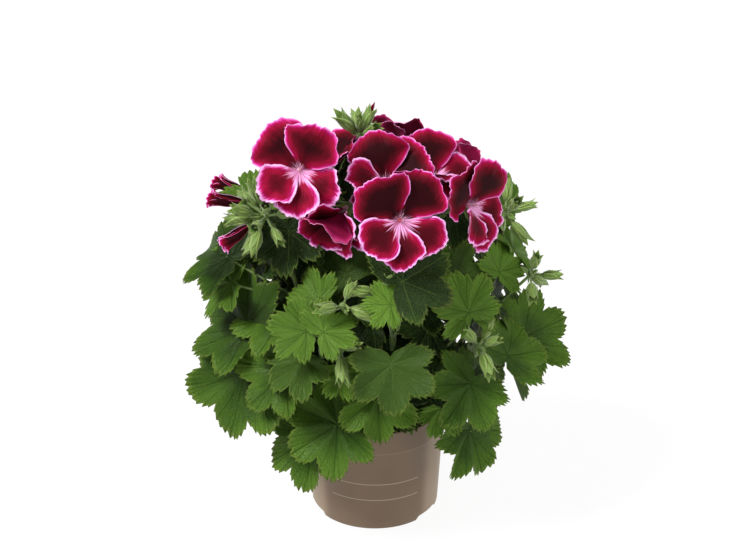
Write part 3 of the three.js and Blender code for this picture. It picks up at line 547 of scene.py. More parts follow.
def paintPetal(tree):
    look = petalFinish
    side, share, lower = tree.split("petal")  # across, from claw to end, and 1 on the three lower petals
    rim, face, seed = tree.split("margin")  # millimetres to the edge; 1 in front, -1 behind; a drawn number

    def streaks(across, along, scale):  # noise that is drawn out from the claw to the edge
        ray = tree.add("ShaderNodeCombineXYZ", sockets={0: side * across, 1: share * along, 2: seed * 20})
        return tree.noise(scale, 2, ray) - 0.5

    # from the pale edge inwards the colours deepen in streaks
    broad, fine = streaks(9, 2.4, 1.9), streaks(50, 4.5, 1.0)
    depth = rim + (broad * 3.2 + fine * (lower * 2.5 + 4)) * rim.from0to1(0.2, 3.0) - lower * 0.9
    colour = look["margin"]
    for low, high, name in ((0.0, 0.8, "pink"), (0.5, 1.6, "magenta"), (1.2, 2.8, "crimson")):
        colour = tree.mixed(depth.from0to1(low, high), colour, look[name])
    deep = (depth - lower * 1.2).from0to1(2.4, 6.2) * (1 - lower * 0.15)
    colour = tree.mixed(deep, colour, look["maroon"])
    # a nearly black cloud in the middle, which is smaller on the lower petals
    cloud = (rim + broad * 5 + fine * 5 - lower).from0to1(4.5, 12.5) * (0.95 - lower * 0.3)
    colour = tree.mixed(cloud, colour, look["blotch"])
    # the pale throat, with fine lines that run out of it
    threads = streaks(13, 1.3, 1.0)
    claw = 1 - (share + threads * 0.6 + broad * 0.2 - lower * 0.19).from0to1(0.03, 0.18)
    throat = tree.mixed(threads.from0to1(0.02, 0.08) * share.from0to1(0.02, 0.12), look["throat"],
                        look["throatLine"])
    colour = tree.mixed(claw * (0.6 + lower * 0.3), colour, throat)
    # the back is duller, and shows the front's colours through
    back = tree.mixed(depth.from0to1(0.2, 2.0) * 0.8, look["back"], look["magenta"])
    back = tree.mixed(depth.from0to1(1.2, 4.5) * 0.7, back, look["maroon"])
    front = face.from0to1(-0.2, 0.2)
    return {
        "Base Color": tree.mixed(front, back, colour),
        "Roughness": 0.52 + tree.noise(300, 2) * 0.16,
        "Normal": tree.bump(0.4, 0.0005, streaks(34, 3, 1.0)),
    }


filamentFinish = {"foot": srgb(240, 206, 222), "tip": srgb(206, 96, 118)}


def paintFilament(tree):
    return {"Base Color": tree.mixed(tree.noise(160, 1).from0to1(0.35, 0.65), *filamentFinish.values())}


antherFinish = {"pollen": srgb(206, 108, 52), "dark": srgb(122, 44, 34)}


def paintAnther(tree):
    return {"Base Color": tree.mixed(tree.noise(900, 2).from0to1(0.35, 0.6), *antherFinish.values())}


potFinish = {
    "body": srgb(119, 96, 74), "shade": srgb(108, 87, 66), "print": srgb(170, 158, 142),
    "side": srgb(143, 122, 98),  # paler beyond the printed front: the wrap's own colour, made paler still as painted light on the pot's sides
    "panelReach": [42, 56], "lineReach": 40,  # in degrees to each side of the front
    "lines": [29.2, 44.6], "lineHalfWidth": 0.35,  # the heights of the two lines, in millimetres
    "wallFrom": [0.0515, 0.0525],  # from the axis, in metres
}


def paintPot(tree):
    look = potFinish
    x, y, z = tree.parts(tree.place())
    body = tree.mixed(tree.noise(14).from0to1(0.3, 0.7), look["body"], look["shade"])
    turn = x.math("ARCTAN2", 0 - y).math("ABSOLUTE") * (180 / math.pi)
    wall = (x * x + y * y).math("SQRT").from0to1(*look["wallFrom"])
    # beyond the printed front the paler side colour, which is partly painted light
    body = tree.mixed(turn.from0to1(*look["panelReach"]).math("MAXIMUM", 1 - wall), body, look["side"])
    printed = (1 - turn.from0to1(look["lineReach"] - 1, look["lineReach"])) * wall
    for height in look["lines"]:
        gap = (z - height * mm).math("ABSOLUTE")
        line = 1 - gap.from0to1(look["lineHalfWidth"] * 0.7 * mm, look["lineHalfWidth"] * 1.3 * mm)
        body = tree.mixed(line * printed * 0.8, body, look["print"])
    return {
        "Base Color": body,
        "Roughness": 0.42 + tree.noise(60) * 0.14,
        "Normal": tree.bump(0.12, 0.0004, tree.noise(26, 2)),
    }


soilFinish = {"dark": srgb(22, 16, 13), "brown": srgb(58, 43, 34), "fibre": srgb(94, 74, 56)}


def paintSoil(tree):
    grain = tree.noise(420, 4)
    body = tree.mixed(grain.from0to1(0.4, 0.7), soilFinish["dark"], soilFinish["brown"])
    body = tree.mixed(tree.noise(1400, 2).from0to1(0.68, 0.76), body, soilFinish["fibre"])
    return {"Base Color": body, "Normal": tree.bump(0.9, 0.0012, grain)}


thin = {"Subsurface Weight": 0.25, "Subsurface Radius": (0.6, 1.0, 0.3), "Subsurface Scale": 0.0012}
finishes = {
    "leaf": ({**thin, "Specular IOR Level": 0.12}, paintLeaf),
    "stalk": ({**thin, "Roughness": 0.55, "Sheen Weight": 0.3}, paintStalk),
    "sepal": ({**thin, "Roughness": 0.55, "Sheen Weight": 0.35}, paintSepal),
    "petal": ({"Specular IOR Level": 0.05, "Subsurface Weight": 0.12, "Subsurface Radius": (1.0, 0.25, 0.4),
               "Subsurface Scale": 0.001}, paintPetal),
    "filament": ({"Roughness": 0.5}, paintFilament),
    "anther": ({"Roughness": 0.8}, paintAnther),
    "pot": ({"Specular IOR Level": 0.5}, paintPot),
    "soil": ({"Roughness": 0.95, "Specular IOR Level": 0.2}, paintSoil),
}


# Meshes. A draft gathers the points and faces of one piece, with what its finishes read at each point.
def material(slot):
    return bpy.data.materials.get(slot + "Finish") or finishOf(slot, *finishes[slot])


def quads(a, b, c, d):  # two triangles to each
    return np.concatenate([np.stack([a, d, c], 1), np.stack([a, c, b], 1)])


class Draft:
    def __init__(self):
        self.points, self.faces, self.flat, self.slots, self.marks = [], [], [], [], []
        self.count = 0

    def add(self, points, faces, flat, slot, marks):  # a closed surface, turned to face outwards
        a, b, c = (points[faces[:, k]] for k in range(3))
        if np.einsum("ij,ij->", a, np.cross(b, c)) < 0:
            faces = faces[:, ::-1]
        self.points.append(points)
        self.faces.append(faces + self.count)
        self.flat.append(np.broadcast_to(flat, len(faces)))
        self.slots.append(np.full(len(faces), list(finishes).index(slot)))
        self.marks.append((len(points), marks))
        self.count += len(points)

    # A thin closed blade from the rows of points of its two faces. A round one closes over its middle.
    def addBlade(self, top, under, slot, marks, isRound=False):
        rows, columns = top.shape[:2]
        n = rows * columns
        spans = columns if isRound else columns - 1
        r, c = np.meshgrid(np.arange(rows - 1), np.arange(spans), indexing="ij")
        a, b = (r * columns + c).ravel(), (r * columns + (c + 1) % columns).ravel()
        sheet = quads(a, b, b + columns, a + columns)
        points = [top.reshape(-1, 3), under.reshape(-1, 3)]
        if isRound:
            edge = np.arange(n - columns, n)
            fan = np.arange(columns)
            middle = np.stack([np.roll(fan, -1), np.full(columns, 2 * n), fan], 1)
            caps = np.concatenate([middle, np.where(middle == 2 * n, 2 * n + 1, middle + n)[:, ::-1]])
            points += [top[0].mean(0)[None], under[0].mean(0)[None]]
        else:
            edge = np.concatenate([np.arange(columns), np.arange(2, rows) * columns - 1,
                                   np.arange(n - 1, n - columns, -1), np.arange(rows - 1, 0, -1) * columns])
            caps = np.empty((0, 3), int)
        after = np.roll(edge, -1)
        rim = quads(edge, after, after + n, edge + n)
        if not isRound:
            rim = rim[:, ::-1]
        faces = np.concatenate([sheet, sheet[:, ::-1] + n, caps, rim])
        flat = np.arange(len(faces)) >= len(faces) - len(rim)
        values = {}
        for name, (above, below) in marks.items():
            both = [above.reshape(-1, 3), below.reshape(-1, 3)]
            values[name] = np.concatenate(both + ([both[0][:1], both[1][:1]] if isRound else []))
        self.add(np.concatenate(points), faces, flat, slot, values)

    # A profile turned round Z, and closed at both ends. Its rows are a radius and a height.
    def addLathed(self, profile, sides, slot, shape):
        angles = np.linspace(0, 2 * math.pi, sides, endpoint=False)
        r, z = vec(profile).T[:, :, None]
        points = np.stack([r * np.cos(angles), r * np.sin(angles), np.broadcast_to(z, (len(r), sides))], -1)
        points = shape(points)
        n = len(r) * sides
        i, j = np.meshgrid(np.arange(len(r) - 1), np.arange(sides), indexing="ij")
        a, b = (i * sides + j).ravel(), (i * sides + (j + 1) % sides).ravel()
        first = np.arange(sides)
        last = first + n - sides
        faces = np.concatenate([
            quads(a, a + sides, b + sides, b),
            np.stack([np.roll(first, -1), first, np.full(sides, n)], 1),
            np.stack([last, np.roll(last, -1), np.full(sides, n + 1)], 1)])
        middle = [points[0].mean(0), points[-1].mean(0)]
        self.add(np.concatenate([points.reshape(-1, 3), middle]), faces, False, slot, {})

    def made(self, name):
        points = np.concatenate(self.points) * mm
        faces = np.concatenate(self.faces)
        mesh = bpy.data.meshes.new(name)
        mesh.vertices.add(len(points))
        mesh.vertices.foreach_set("co", points.ravel())
        mesh.loops.add(3 * len(faces))
        mesh.loops.foreach_set("vertex_index", faces.ravel())
        mesh.polygons.add(len(faces))
        mesh.polygons.foreach_set("loop_start", np.arange(len(faces)) * 3)
        for mark in sorted({mark for _, marks in self.marks for mark in marks}):
            values = [marks.get(mark, np.zeros((n, 3))) for n, marks in self.marks]
            layer = mesh.attributes.new(mark, "FLOAT_VECTOR", "POINT")
            layer.data.foreach_set("vector", np.concatenate(values).astype(np.float32).ravel())
        used = np.concatenate(self.slots)
        kinds = sorted(set(used))
        for kind in kinds:
            mesh.materials.append(material(list(finishes)[kind]))
        mesh.polygons.foreach_set("material_index", np.searchsorted(kinds, used))
        mesh.polygons.foreach_set("use_smooth", ~np.concatenate(self.flat))
        mesh.update(calc_edges=True)
        return shown(name, mesh)


def shown(name, mesh):
    piece = bpy.data.objects.new(name, mesh)
    bpy.context.scene.collection.objects.link(piece)
    return piece


def settled(piece, node):  # what each piece rides on, and the solid that it stands for
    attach(piece, "root")
    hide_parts(node)


# Geometry Nodes: every tree has named inputs, and ends in Realize Instances and Set Material
def growthTree(name, inputs, build):
    group = bpy.data.node_groups.new(name, "GeometryNodeTree")
    group.interface.new_socket("Geometry", in_out="INPUT", socket_type="NodeSocketGeometry")
    for label, kind in {**inputs, "Material": "Material"}.items():
        group.interface.new_socket(label, in_out="INPUT", socket_type="NodeSocket" + kind)
    group.interface.new_socket("Geometry", in_out="OUTPUT", socket_type="NodeSocketGeometry")
    tree = Tree(group)
    entry = tree.add("NodeGroupInput")
    made = build(tree, {label: entry.other(label) for label in ["Geometry", *inputs]})
    made = tree.add("GeometryNodeRealizeInstances", sockets={"Geometry": made})
    made = tree.add("GeometryNodeSetMaterial", sockets={
        "Geometry": made, "Material": entry.other("Material")})
    tree.add("NodeGroupOutput", sockets={"Geometry": made})
    return group


def plainMesh(holder):  # what an object with modifiers comes to, without the object
    graph = bpy.context.evaluated_depsgraph_get()
    mesh = bpy.data.meshes.new_from_object(holder.evaluated_get(graph), preserve_all_data_layers=True,
                                           depsgraph=graph)
    bpy.data.objects.remove(holder)
    return mesh


# Runs a tree on a mesh, and shows the plain mesh that it makes.
def grown(name, source, group, slot, values):
    holder = shown(name + "_growth", source)
    modifier = holder.modifiers.new("growth", "NODES")
    modifier.node_group = group
    inputs = {item.name: item.identifier for item in group.interface.items_tree if item.in_out == "INPUT"}
    for label, value in {**values, "Material": material(slot)}.items():
        modifier[inputs[label]] = value
    mesh = plainMesh(holder)
    mesh.materials.clear()
    mesh.materials.append(material(slot))
    mesh.polygons.foreach_set("material_index", np.zeros(len(mesh.polygons), np.int32))
    mesh.shade_smooth()
    return shown(name, mesh)


# Stalks: lines of points with a girth become round tubes
def buildStalks(tree, given):
    line = tree.add("GeometryNodeMeshToCurve", sockets={"Mesh": given["Geometry"]})
    ring = tree.add("GeometryNodeCurvePrimitiveCircle", sockets={
        "Resolution": given["Sides"], "Radius": 1.0})
    girth = tree.add("GeometryNodeInputNamedAttribute", {"data_type": "FLOAT"}, {"Name": "girth"})
    return tree.add("GeometryNodeCurveToMesh", sockets={
        "Curve": line, "Profile Curve": ring, "Scale": girth, "Fill Caps": True})


# Hairs: thin cones that stand on a surface, each leaning its own way
def buildHairs(tree, given):
    spots = tree.add("GeometryNodeDistributePointsOnFaces", sockets={
        "Mesh": given["Geometry"], "Density": given["Per Square Metre"], "Seed": given["Seed"]})
    hair = tree.add("GeometryNodeMeshCone", sockets={
        "Vertices": 3, "Radius Top": 0.0, "Radius Bottom": given["Root"], "Depth": given["Length"]})
    lean = tree.add("FunctionNodeRandomValue", {"data_type": "FLOAT_VECTOR"}, {
        "Min": (-0.5, -0.5, -0.5), "Max": (0.5, 0.5, 0.5), "Seed": given["Seed"]})
    stand = tree.add("ShaderNodeVectorMath", {"operation": "ADD"}, {0: spots.other("Normal"), 1: lean})
    turn = tree.add("FunctionNodeAlignRotationToVector", {"axis": "Z"}, {"Vector": stand})
    return tree.add("GeometryNodeInstanceOnPoints", sockets={
        "Points": spots, "Instance": hair, "Rotation": turn})


# Crumbs: lumps strewn over a surface, each of its own size and turn
def buildCrumbs(tree, given):
    spots = tree.add("GeometryNodeDistributePointsOnFaces", sockets={
        "Mesh": given["Geometry"], "Density": given["Per Square Metre"], "Seed": given["Seed"]})
    crumb = tree.add("GeometryNodeMeshIcoSphere", sockets={"Radius": given["Size"], "Subdivisions": 1})
    turn = tree.add("FunctionNodeRandomValue", {"data_type": "FLOAT_VECTOR"}, {
        "Min": (0, 0, 0), "Max": (6, 6, 6), "Seed": given["Seed"]})
    size = tree.add("FunctionNodeRandomValue", {"data_type": "FLOAT_VECTOR"}, {
        "Min": (0.3, 0.3, 0.25), "Max": (1.3, 1.0, 0.8), "Seed": given["Seed"]})
    return tree.add("GeometryNodeInstanceOnPoints", sockets={
        "Points": spots, "Instance": crumb, "Rotation": turn, "Scale": size})


# Copies: one shape at every point, turned and sized as the point says
def buildCopies(tree, given):
    def mark(name):
        return tree.add("GeometryNodeInputNamedAttribute", {"data_type": "FLOAT_VECTOR"}, {"Name": name})
    shape = tree.add("GeometryNodeObjectInfo", sockets={"Object": given["Shape"]}).other("Geometry")
    turn = tree.add("FunctionNodeAxesToRotation", {"primary_axis": "Z", "secondary_axis": "X"}, {
        "Primary Axis": mark("way"), "Secondary Axis": mark("side")})
    return tree.add("GeometryNodeInstanceOnPoints", sockets={
        "Points": given["Geometry"], "Instance": shape, "Rotation": turn, "Scale": mark("size")})


stalkTree = growthTree("stalks", {"Sides": "Int"}, buildStalks)
hairTree = growthTree("hairs", {
    "Per Square Metre": "Float", "Root": "Float", "Length": "Float", "Seed": "Int"}, buildHairs)
crumbTree = growthTree("crumbs", {"Per Square Metre": "Float", "Size": "Float", "Seed": "Int"}, buildCrumbs)
copyTree = growthTree("copies", {"Shape": "Object"}, buildCopies)
print("growth trees built")


# Each line is its points in millimetres and their girths.
def grownStalks(name, lines, sides, slot="stalk"):
    mesh = bpy.data.meshes.new(name)
    points = np.concatenate([points for points, _ in lines]) * mm
    ends = set(np.cumsum([len(points) for points, _ in lines]).tolist())
    mesh.from_pydata(points.tolist(), [(i, i + 1) for i in range(len(points) - 1) if i + 1 not in ends], [])
    girth = mesh.attributes.new("girth", "FLOAT", "POINT")
    girth.data.foreach_set("value", np.concatenate([radii for _, radii in lines]).astype(np.float32) * mm)
    return grown(name, mesh, stalkTree, slot, {"Sides": sides})


def grownCopies(name, shape, places, slot):  # each place is a point, the way out, the side and the size
    mesh = bpy.data.meshes.new(name)
    mesh.from_pydata((vec([place[0] for place in places]) * mm).tolist(), [], [])
    for k, mark in enumerate(("way", "side", "size"), 1):
        layer = mesh.attributes.new(mark, "FLOAT_VECTOR", "POINT")
        layer.data.foreach_set("vector", vec([place[k] for place in places]).astype(np.float32).ravel())
    return grown(name, mesh, copyTree, slot, {"Shape": shape})


# Leaves
fineLeaf = {
    "rows": [0.05, 0.16, 0.28, 0.4, 0.52, 0.63, 0.73, 0.82, 0.91, 1],
    "notches": [5, 15, 27, 38, 48, 58, 68, 80, 91, 101, 111, 123, 137], "shift": 1.5,  # in degrees
    "lows": {27: -0.2, 80: -0.2, 123: -0.2},  # the notches between two lobes are deeper
    "lobes": [0, 53, 106], "base": [150, 165], "baseReach": 0.2,
    "peak": 0.26, "doubled": 36,  # where a tooth ends; a leaf with a wider span has two between notches
    "twoTeeth": [[0.2, 1], [0.52, 0.3], [0.7, 0.8]], "twoTeethBack": [[0.3, 0.8], [0.48, 0.3], [0.8, 1]],
    "toothDepth": 3.9, "uneven": 0.35, "flank": 0.55, "toothFoot": 0.6, "toothedFrom": 0.6,
    "waves": [9, 4], "edgeWave": 0.035, "thickness": 0.45,
    "gather": 1.6, "quilt": 0.012, "crease": 0.065,  # how the side veins bend off, and how deep they lie
    "pleat": [0.15, 0.85], "lobeTilt": 0.13, "tilts": [0, 1, 1, 1, 1, 1, 0], "tiltReach": 159, "curl": 0.17,
}


def leafHeight(u, v, span, phase, pleat=1):
    reach = np.hypot(u, v) / span
    angle = np.arctan2(v, u)
    fold = -np.cos(np.abs(angle) * (360 / leafForm["lobe"])) * pleat
    return span * (leafForm["fold"] * reach * fold + leafForm["cup"] * reach ** 2
                   - leafForm["droop"] * np.maximum(0, u / span) ** 2
                   + leafForm["wave"] * reach ** 2 * np.sin(2 * angle + phase))


def leafPoints(turns, shares, span, phase, pleat=1):
    turns = np.radians(turns)
    u, v = span * shares * np.cos(turns), span * shares * np.sin(turns)
    return u, v, leafHeight(u, v, span, phase, pleat)


def foldShares():
    return vec([leafForm["ring"] * np.interp(abs(a), *zip(*leafEdge)) for a in leafFolds])


def leafBlade(leaf):
    _, turn, radius, height, facing, rise, heading, _ = leaf
    out = lookAt(facing, rise)
    right = unit(np.cross(up, out))
    h = math.radians(heading)
    return Blade(lookAt(turn, 0) * radius + up * height,
                 right * math.cos(h) + np.cross(out, right) * math.sin(h), out)


def solidLeafPoints(blade, span, phase):
    edge = [(s * a, r) for a, r in leafEdge for s in (1, -1)]
    turns = vec([a for a, _ in edge] + leafFolds)
    shares = np.concatenate([[r for _, r in edge], foldShares()])
    u, v, h = leafPoints(turns, shares, span, phase)
    return blade.at(u, v, h + leafForm["thickness"] / 2)


def leafFoot(blade, span, phase):  # where the stalk ends in the flat of the middle lobe
    u, _, h = leafPoints(vec(leafFolds[1:3]), foldShares()[1:3], span, phase)
    share = leafStalk["reach"] * span / u[0]
    return blade.at(share * u[0], 0, share * h.mean())


# One half of the toothed edge: the angles, and how far up each is from a notch to the point of its tooth.
def toothedHalf(span, draw):
    shift = fineLeaf["shift"]
    notches = vec(fineLeaf["notches"]) + draw.uniform(-shift, shift, len(fineLeaf["notches"]))
    lows = [fineLeaf["lows"].get(notch, 0) for notch in fineLeaf["notches"]]
    turns, heights = [0.0, notches[0] / 2], [1.0, 0.5]
    for a, b, low in zip(notches, notches[1:], lows):
        lobe = min(fineLeaf["lobes"], key=lambda t: abs(t - (a + b) / 2))
        if span > fineLeaf["doubled"]:
            teeth = fineLeaf["twoTeethBack" if lobe > b else "twoTeeth"]
        else:
            peak = 0.5 if a < lobe < b else 1 - fineLeaf["peak"] if lobe > b else fineLeaf["peak"]
            teeth = [(peak / 2, fineLeaf["flank"]), (peak, 1), ((1 + peak) / 2, fineLeaf["flank"])]
        for step, height in [(0, low), *teeth]:
            turns.append(a + (b - a) * step)
            heights.append(height)
    return vec([*turns, notches[-1], *fineLeaf["base"], 180]), vec([*heights, 0, 0, 0, 0])


def leafReach(angles):  # how far the smooth edge lies from the joint
    turns, shares = zip(*leafEdge)
    return np.interp(np.abs(angles), [*turns, 180], [*shares, fineLeaf["baseReach"]])


# Towards the joint the lines to the teeth draw in to the main vein of their lobe, and so do the side
# veins. A tone is how young the leaf is and how light it is drawn, which holds painted light and shade.
def addLeaf(draft, blade, span, phase, tone, draw, rows=fineLeaf["rows"]):
    (right, rightUp), (left, leftUp) = toothedHalf(span, draw), toothedHalf(span, draw)
    turns = np.concatenate([-left[:0:-1], right])[1:]
    heights = np.concatenate([leftUp[:0:-1], rightUp])[1:]
    # the way that each line from the joint to the edge takes, by rows
    rows = vec(rows)[:, None]
    lobe = leafForm["lobe"]
    main = lobe * np.round(np.abs(turns) / lobe)
    isLobe = main <= fineLeaf["lobes"][-1]
    aside = (np.abs(turns) - main) / lobe * 2
    drawnIn = np.sign(aside) * np.minimum(np.abs(aside), 1) ** (1 + fineLeaf["gather"] * (1 - rows) ** 1.5)
    angles = np.sign(turns) * (main + lobe / 2 * np.where(isLobe, drawnIn, aside))
    # how far out each row lies, with the teeth only in the outer ones
    depth = fineLeaf["toothDepth"] / span * (1 + draw.uniform(-1, 1, len(turns)) * fineLeaf["uneven"])
    blend = smoothStep(rows, fineLeaf["toothedFrom"], 1)
    toothed = leafReach(turns) + depth * (heights - fineLeaf["toothFoot"])
    shares = rows * (leafReach(angles) * (1 - blend) + toothed * blend)
    pleat = draw.uniform(*fineLeaf["pleat"])
    u, v, h = leafPoints(angles, shares, span, phase, pleat)
    # the ripples of the edge, the tilt of each lobe, the curl of the blade and the relief of its veins
    quick, slow = fineLeaf["waves"]
    wave = np.sin(np.radians(turns) * quick + phase * 3) + np.sin(np.radians(turns) * slow + phase)
    curl, roll = draw.uniform(-1, 1, 2) * fineLeaf["curl"]
    ends = np.linspace(-fineLeaf["tiltReach"], fineLeaf["tiltReach"], len(fineLeaf["tilts"]))
    tilts = np.interp(angles, ends, draw.uniform(-1, 1, len(ends)) * fineLeaf["tilts"])
    fromVein = np.abs(np.abs(angles) - main) / lobe * 2
    h = h + span * (fineLeaf["edgeWave"] * rows ** 3 * wave * smoothStep(180 - np.abs(turns), 0, 40)
                    + fineLeaf["lobeTilt"] * tilts * shares ** 2
                    + curl * (u / span) ** 2 + roll * (v / span) ** 2
                    - fineLeaf["quilt"] * (2 * heights - 1) * smoothStep(rows, 0.5, 0.95)
                    + fineLeaf["crease"] * pleat * shares * (fromVein - 0.5) * isLobe)
    half = fineLeaf["thickness"] / 2
    rows, heights = np.broadcast_to(rows, u.shape), np.broadcast_to(heights, u.shape)
    away = np.abs(shares * np.sin(np.radians(np.abs(angles) - main)))
    # what the finish reads
    places = [np.stack([u / span, v / span, np.full_like(u, face)], -1) for face in (1, -1)]
    tones = np.stack([np.full_like(u, tone[0]), np.full_like(u, tone[1]), rows], -1)
    veins = np.stack([away, heights, rows * isLobe], -1)
    draft.addBlade(blade.at(u, v, h + half), blade.at(u, v, h - half), "leaf",
                   {"blade": places, "tone": [tones, tones], "veins": [veins, veins]}, isRound=True)


# Petals
finePetal = {
    "rows": 20, "columns": 26, "crowding": 1.35, "thickness": 0.35,  # rows and columns crowd at the edge
    "widths": [[0.03, 0.06], [0.2, 0.26], [0.38, 0.58], [0.55, 0.86], [0.7, 1.02], [0.86, 1.0], [1, 0.72]],
    "middle": 0.55,  # where along the petal its own middle lies, which the waves of the edge go round
    "frill": 0.05, "frills": 6.5, "crimp": 0.012, "crimps": 25,
    "notch": 0.013, "notches": 29, "wideNotches": 0.43, "swell": 0.03, "swells": 3, "pleat": 0.1,
    "lean": [2, -2, 5, 0, -5], "lift": [0.8, -0.8, 1.4, 0, -1.4],  # degrees and millimetres forward
    "leftOver": [1, 3],  # the flowers whose upper left petal lies on the right one, not under it
    "deepening": {0: 0.78, 1: 1.25, 3: 1.1},  # how fast the colours of some flowers deepen from the edge
}


class Flower:
    def __init__(self, entry):
        self.throat = vec(entry["at"])
        self.way = unit(vec(entry["face"]))
        self.right = unit(np.cross(up, self.way))
        self.above = np.cross(self.way, self.right)
        self.turn = entry["turn"]
        self.stem = entry["stem"]
        self.folded = entry.get("folded", 0)
        self.base = self.throat + self.way * pedicel["base"]

    def ray(self, angle):
        a = math.radians(angle + self.turn)
        return self.right * math.cos(a) + self.above * math.sin(a)


def petalPoints(flower, k, fold, size, phase, side, share, width, extra=0):
    petal = upperPetal if k < 2 else lowerPetal
    radial = flower.ray(petalTurns[k])
    across = unit(np.cross(flower.way, radial))
    length = petal["length"] * size
    s = share * (1 - petalForm["corner"] * side ** 2)
    lean = np.radians(petalForm["from"] + (petalForm["to"] - petalForm["from"]) * s / 2 - fold)[..., None]
    out = flower.way * np.sin(lean) - radial * np.cos(lean)
    ruffle = petalForm["wave"] * np.sin(petalForm["pitch"] * side + phase) + petalForm["lift"] * side ** 2
    points = (flower.throat + length * s[..., None] * (radial * np.sin(lean) + flower.way * np.cos(lean))
              + across * (side * width * size * petal["spread"] / 2)[..., None]
              + out * (length * (s ** 2 * ruffle + extra))[..., None])
    return points, out


def solidPetalPoints(flower, k, fold, size, phase):
    columns = (upperPetal if k < 2 else lowerPetal)["columns"]
    grid = vec([(2 * i / n - 1, share, width) for (share, width), n in zip(petalRows, columns)
                for i in range(n + 1)])
    points, out = petalPoints(flower, k, fold, size, phase, *grid.T)
    return points + out * leafForm["thickness"] / 2


def crowded(t):
    return 1 - (1 - t) ** finePetal["crowding"]


# The order is the place in the overlap, which sets how far forward the petal lies. The margin is 0 inside
# it and 1 all round its free edge.
def addPetal(draft, flower, k, fold, size, phase, order, deepening, draw):
    petal, look = upperPetal if k < 2 else lowerPetal, finePetal
    foot = petalRows[0][0]
    rows = foot + (1 - foot) * crowded(np.linspace(0, 1, look["rows"] + 1))[:, None]
    columns = np.linspace(-1, 1, look["columns"] + 1)[None]
    side, share = np.broadcast_arrays(np.sign(columns) * crowded(np.abs(columns)), rows)
    margin = np.maximum(side ** 2, smoothStep(share, look["middle"], 1)) * smoothStep(share, 0.15, 0.5)
    way = np.arctan2(side * 0.5, share - look["middle"])
    # small notches and a broad swell of the outline, and the frill, crimp and crease of the surface
    shift = draw.uniform(0, 6, 3)
    notch = (np.sin(way * look["notches"] + shift[0])
             + np.sin(way * look["notches"] * look["wideNotches"] + shift[1])) * margin ** 6
    swell = 1 + look["notch"] * notch + look["swell"] * np.sin(way * look["swells"] + shift[2]) * margin
    width = np.interp(share, *zip(*look["widths"]))
    frill = look["frill"] * np.sin(way * look["frills"] + shift[2]) * margin ** 2
    crimp = look["crimp"] * np.sin(way * look["crimps"] + shift[1]) * margin ** 4
    crease, at = draw.uniform(-1, 1) * look["pleat"], draw.uniform(-0.4, 0.4)
    pleat = crease * share ** 2 * (np.abs(side - at) - 0.5)
    points, out = petalPoints(flower, k, fold + look["lean"][order], size, phase, side, share * swell,
                              width * swell, frill + crimp + pleat)
    points = points + out * (look["lift"][order] * smoothStep(share, 0.1, 0.5))[..., None]
    # how far each point is from the free edge, in millimetres on the flat petal
    flat = np.stack([share * (1 - petalForm["corner"] * side ** 2) * petal["length"],
                     side * width * petal["spread"] / 2], -1) * size
    outline = np.concatenate([flat[4:, 0], flat[-1], flat[4:, -1]])  # from above the claw, all round
    rim = np.linalg.norm(flat[:, :, None] - outline, axis=-1).min(-1) * deepening
    seed = np.full_like(rim, draw.uniform(0, 1))
    places = np.stack([side, share, np.full_like(rim, k > 1)], -1)
    half = look["thickness"] / 2
    draft.addBlade(points + out * half, points - out * half, "petal", {
        "petal": [places, places],
        "margin": [np.stack([rim, np.full_like(rim, face), seed], -1) for face in (1, -1)]})


# Shapes that Geometry Nodes copy, with a size of 1 mm. Each is a sheet that grows along Z with its outer
# side towards X. The profile is how far out it lies at each share of its length, and the widths are half.
shapes = {
    "budSepal": {
        "slot": "sepal", "cup": 0.34, "rows": 6,
        "profile": [[0, 0.3], [0.12, 0.75], [0.38, 1.15], [0.62, 1.2], [0.82, 1.36], [1, 1.7]],
        "widths": [[0, 0.3], [0.14, 0.9], [0.38, 1.4], [0.62, 1.15], [0.84, 0.5], [1, 0.015]],
        "marks": lambda side, t, face: {"sepal": [side, t, face]},
    },
    "openSepal": {
        "slot": "sepal", "cup": 0.4, "rows": 6,
        "profile": [[0, 0.1], [0.2, 1.4], [0.5, 4.2], [0.8, 7.6], [1, 9.8]],
        "widths": [[0, 0.55], [0.2, 0.9], [0.45, 1.0], [0.7, 0.72], [0.88, 0.35], [1, 0.02]],
        "marks": lambda side, t, face: {"sepal": [side, t, face]},
    },
    "budPetal": {
        "slot": "petal", "cup": 0.6, "rows": 6,
        "profile": [[0, 0.2], [0.3, 0.7], [0.6, 0.75], [0.85, 0.5], [1, 0.1]],
        "widths": [[0, 0.2], [0.3, 0.7], [0.7, 0.8], [0.9, 0.5], [1, 0.05]],
        "marks": lambda side, t, face: {"petal": [side, 0.7, 0], "margin": [4 + 6 * (1 - t), face, 0.4]},
    },
    "anther": {
        "slot": "anther", "cup": 0.9, "rows": 4,
        "profile": [[0, 0.2], [0.5, 0.9], [1, 0.1]],
        "widths": [[0, 0.2], [0.5, 0.7], [1, 0.1]],
        "marks": lambda side, t, face: {},
    },
}
sheetColumns = 4
sheetThickness = 0.12  # of its half width, and a little more


def sheetShape(name):
    look = shapes[name]
    t, side = np.broadcast_arrays(np.linspace(0, 1, look["rows"] + 1)[:, None],
                                  np.linspace(-1, 1, sheetColumns + 1)[None])
    width = np.interp(t, *zip(*look["widths"]))
    x = np.interp(t, *zip(*look["profile"])) - look["cup"] * width * side ** 2
    top = np.stack([x, width * side, t], -1)
    under = top - vec([sheetThickness, 0, 0]) * (width + 0.05)[..., None]
    marks = {}
    for face in (1, -1):
        for mark, values in look["marks"](side, t, face).items():
            rows = np.stack([np.broadcast_to(value, t.shape) for value in values], -1)
            marks.setdefault(mark, []).append(rows)
    draft = Draft()
    draft.addBlade(top, under, look["slot"], marks)
    return draft.made(name + "_shape")


budSepal, openSepal, budPetal, anther = (sheetShape(name) for name in shapes)


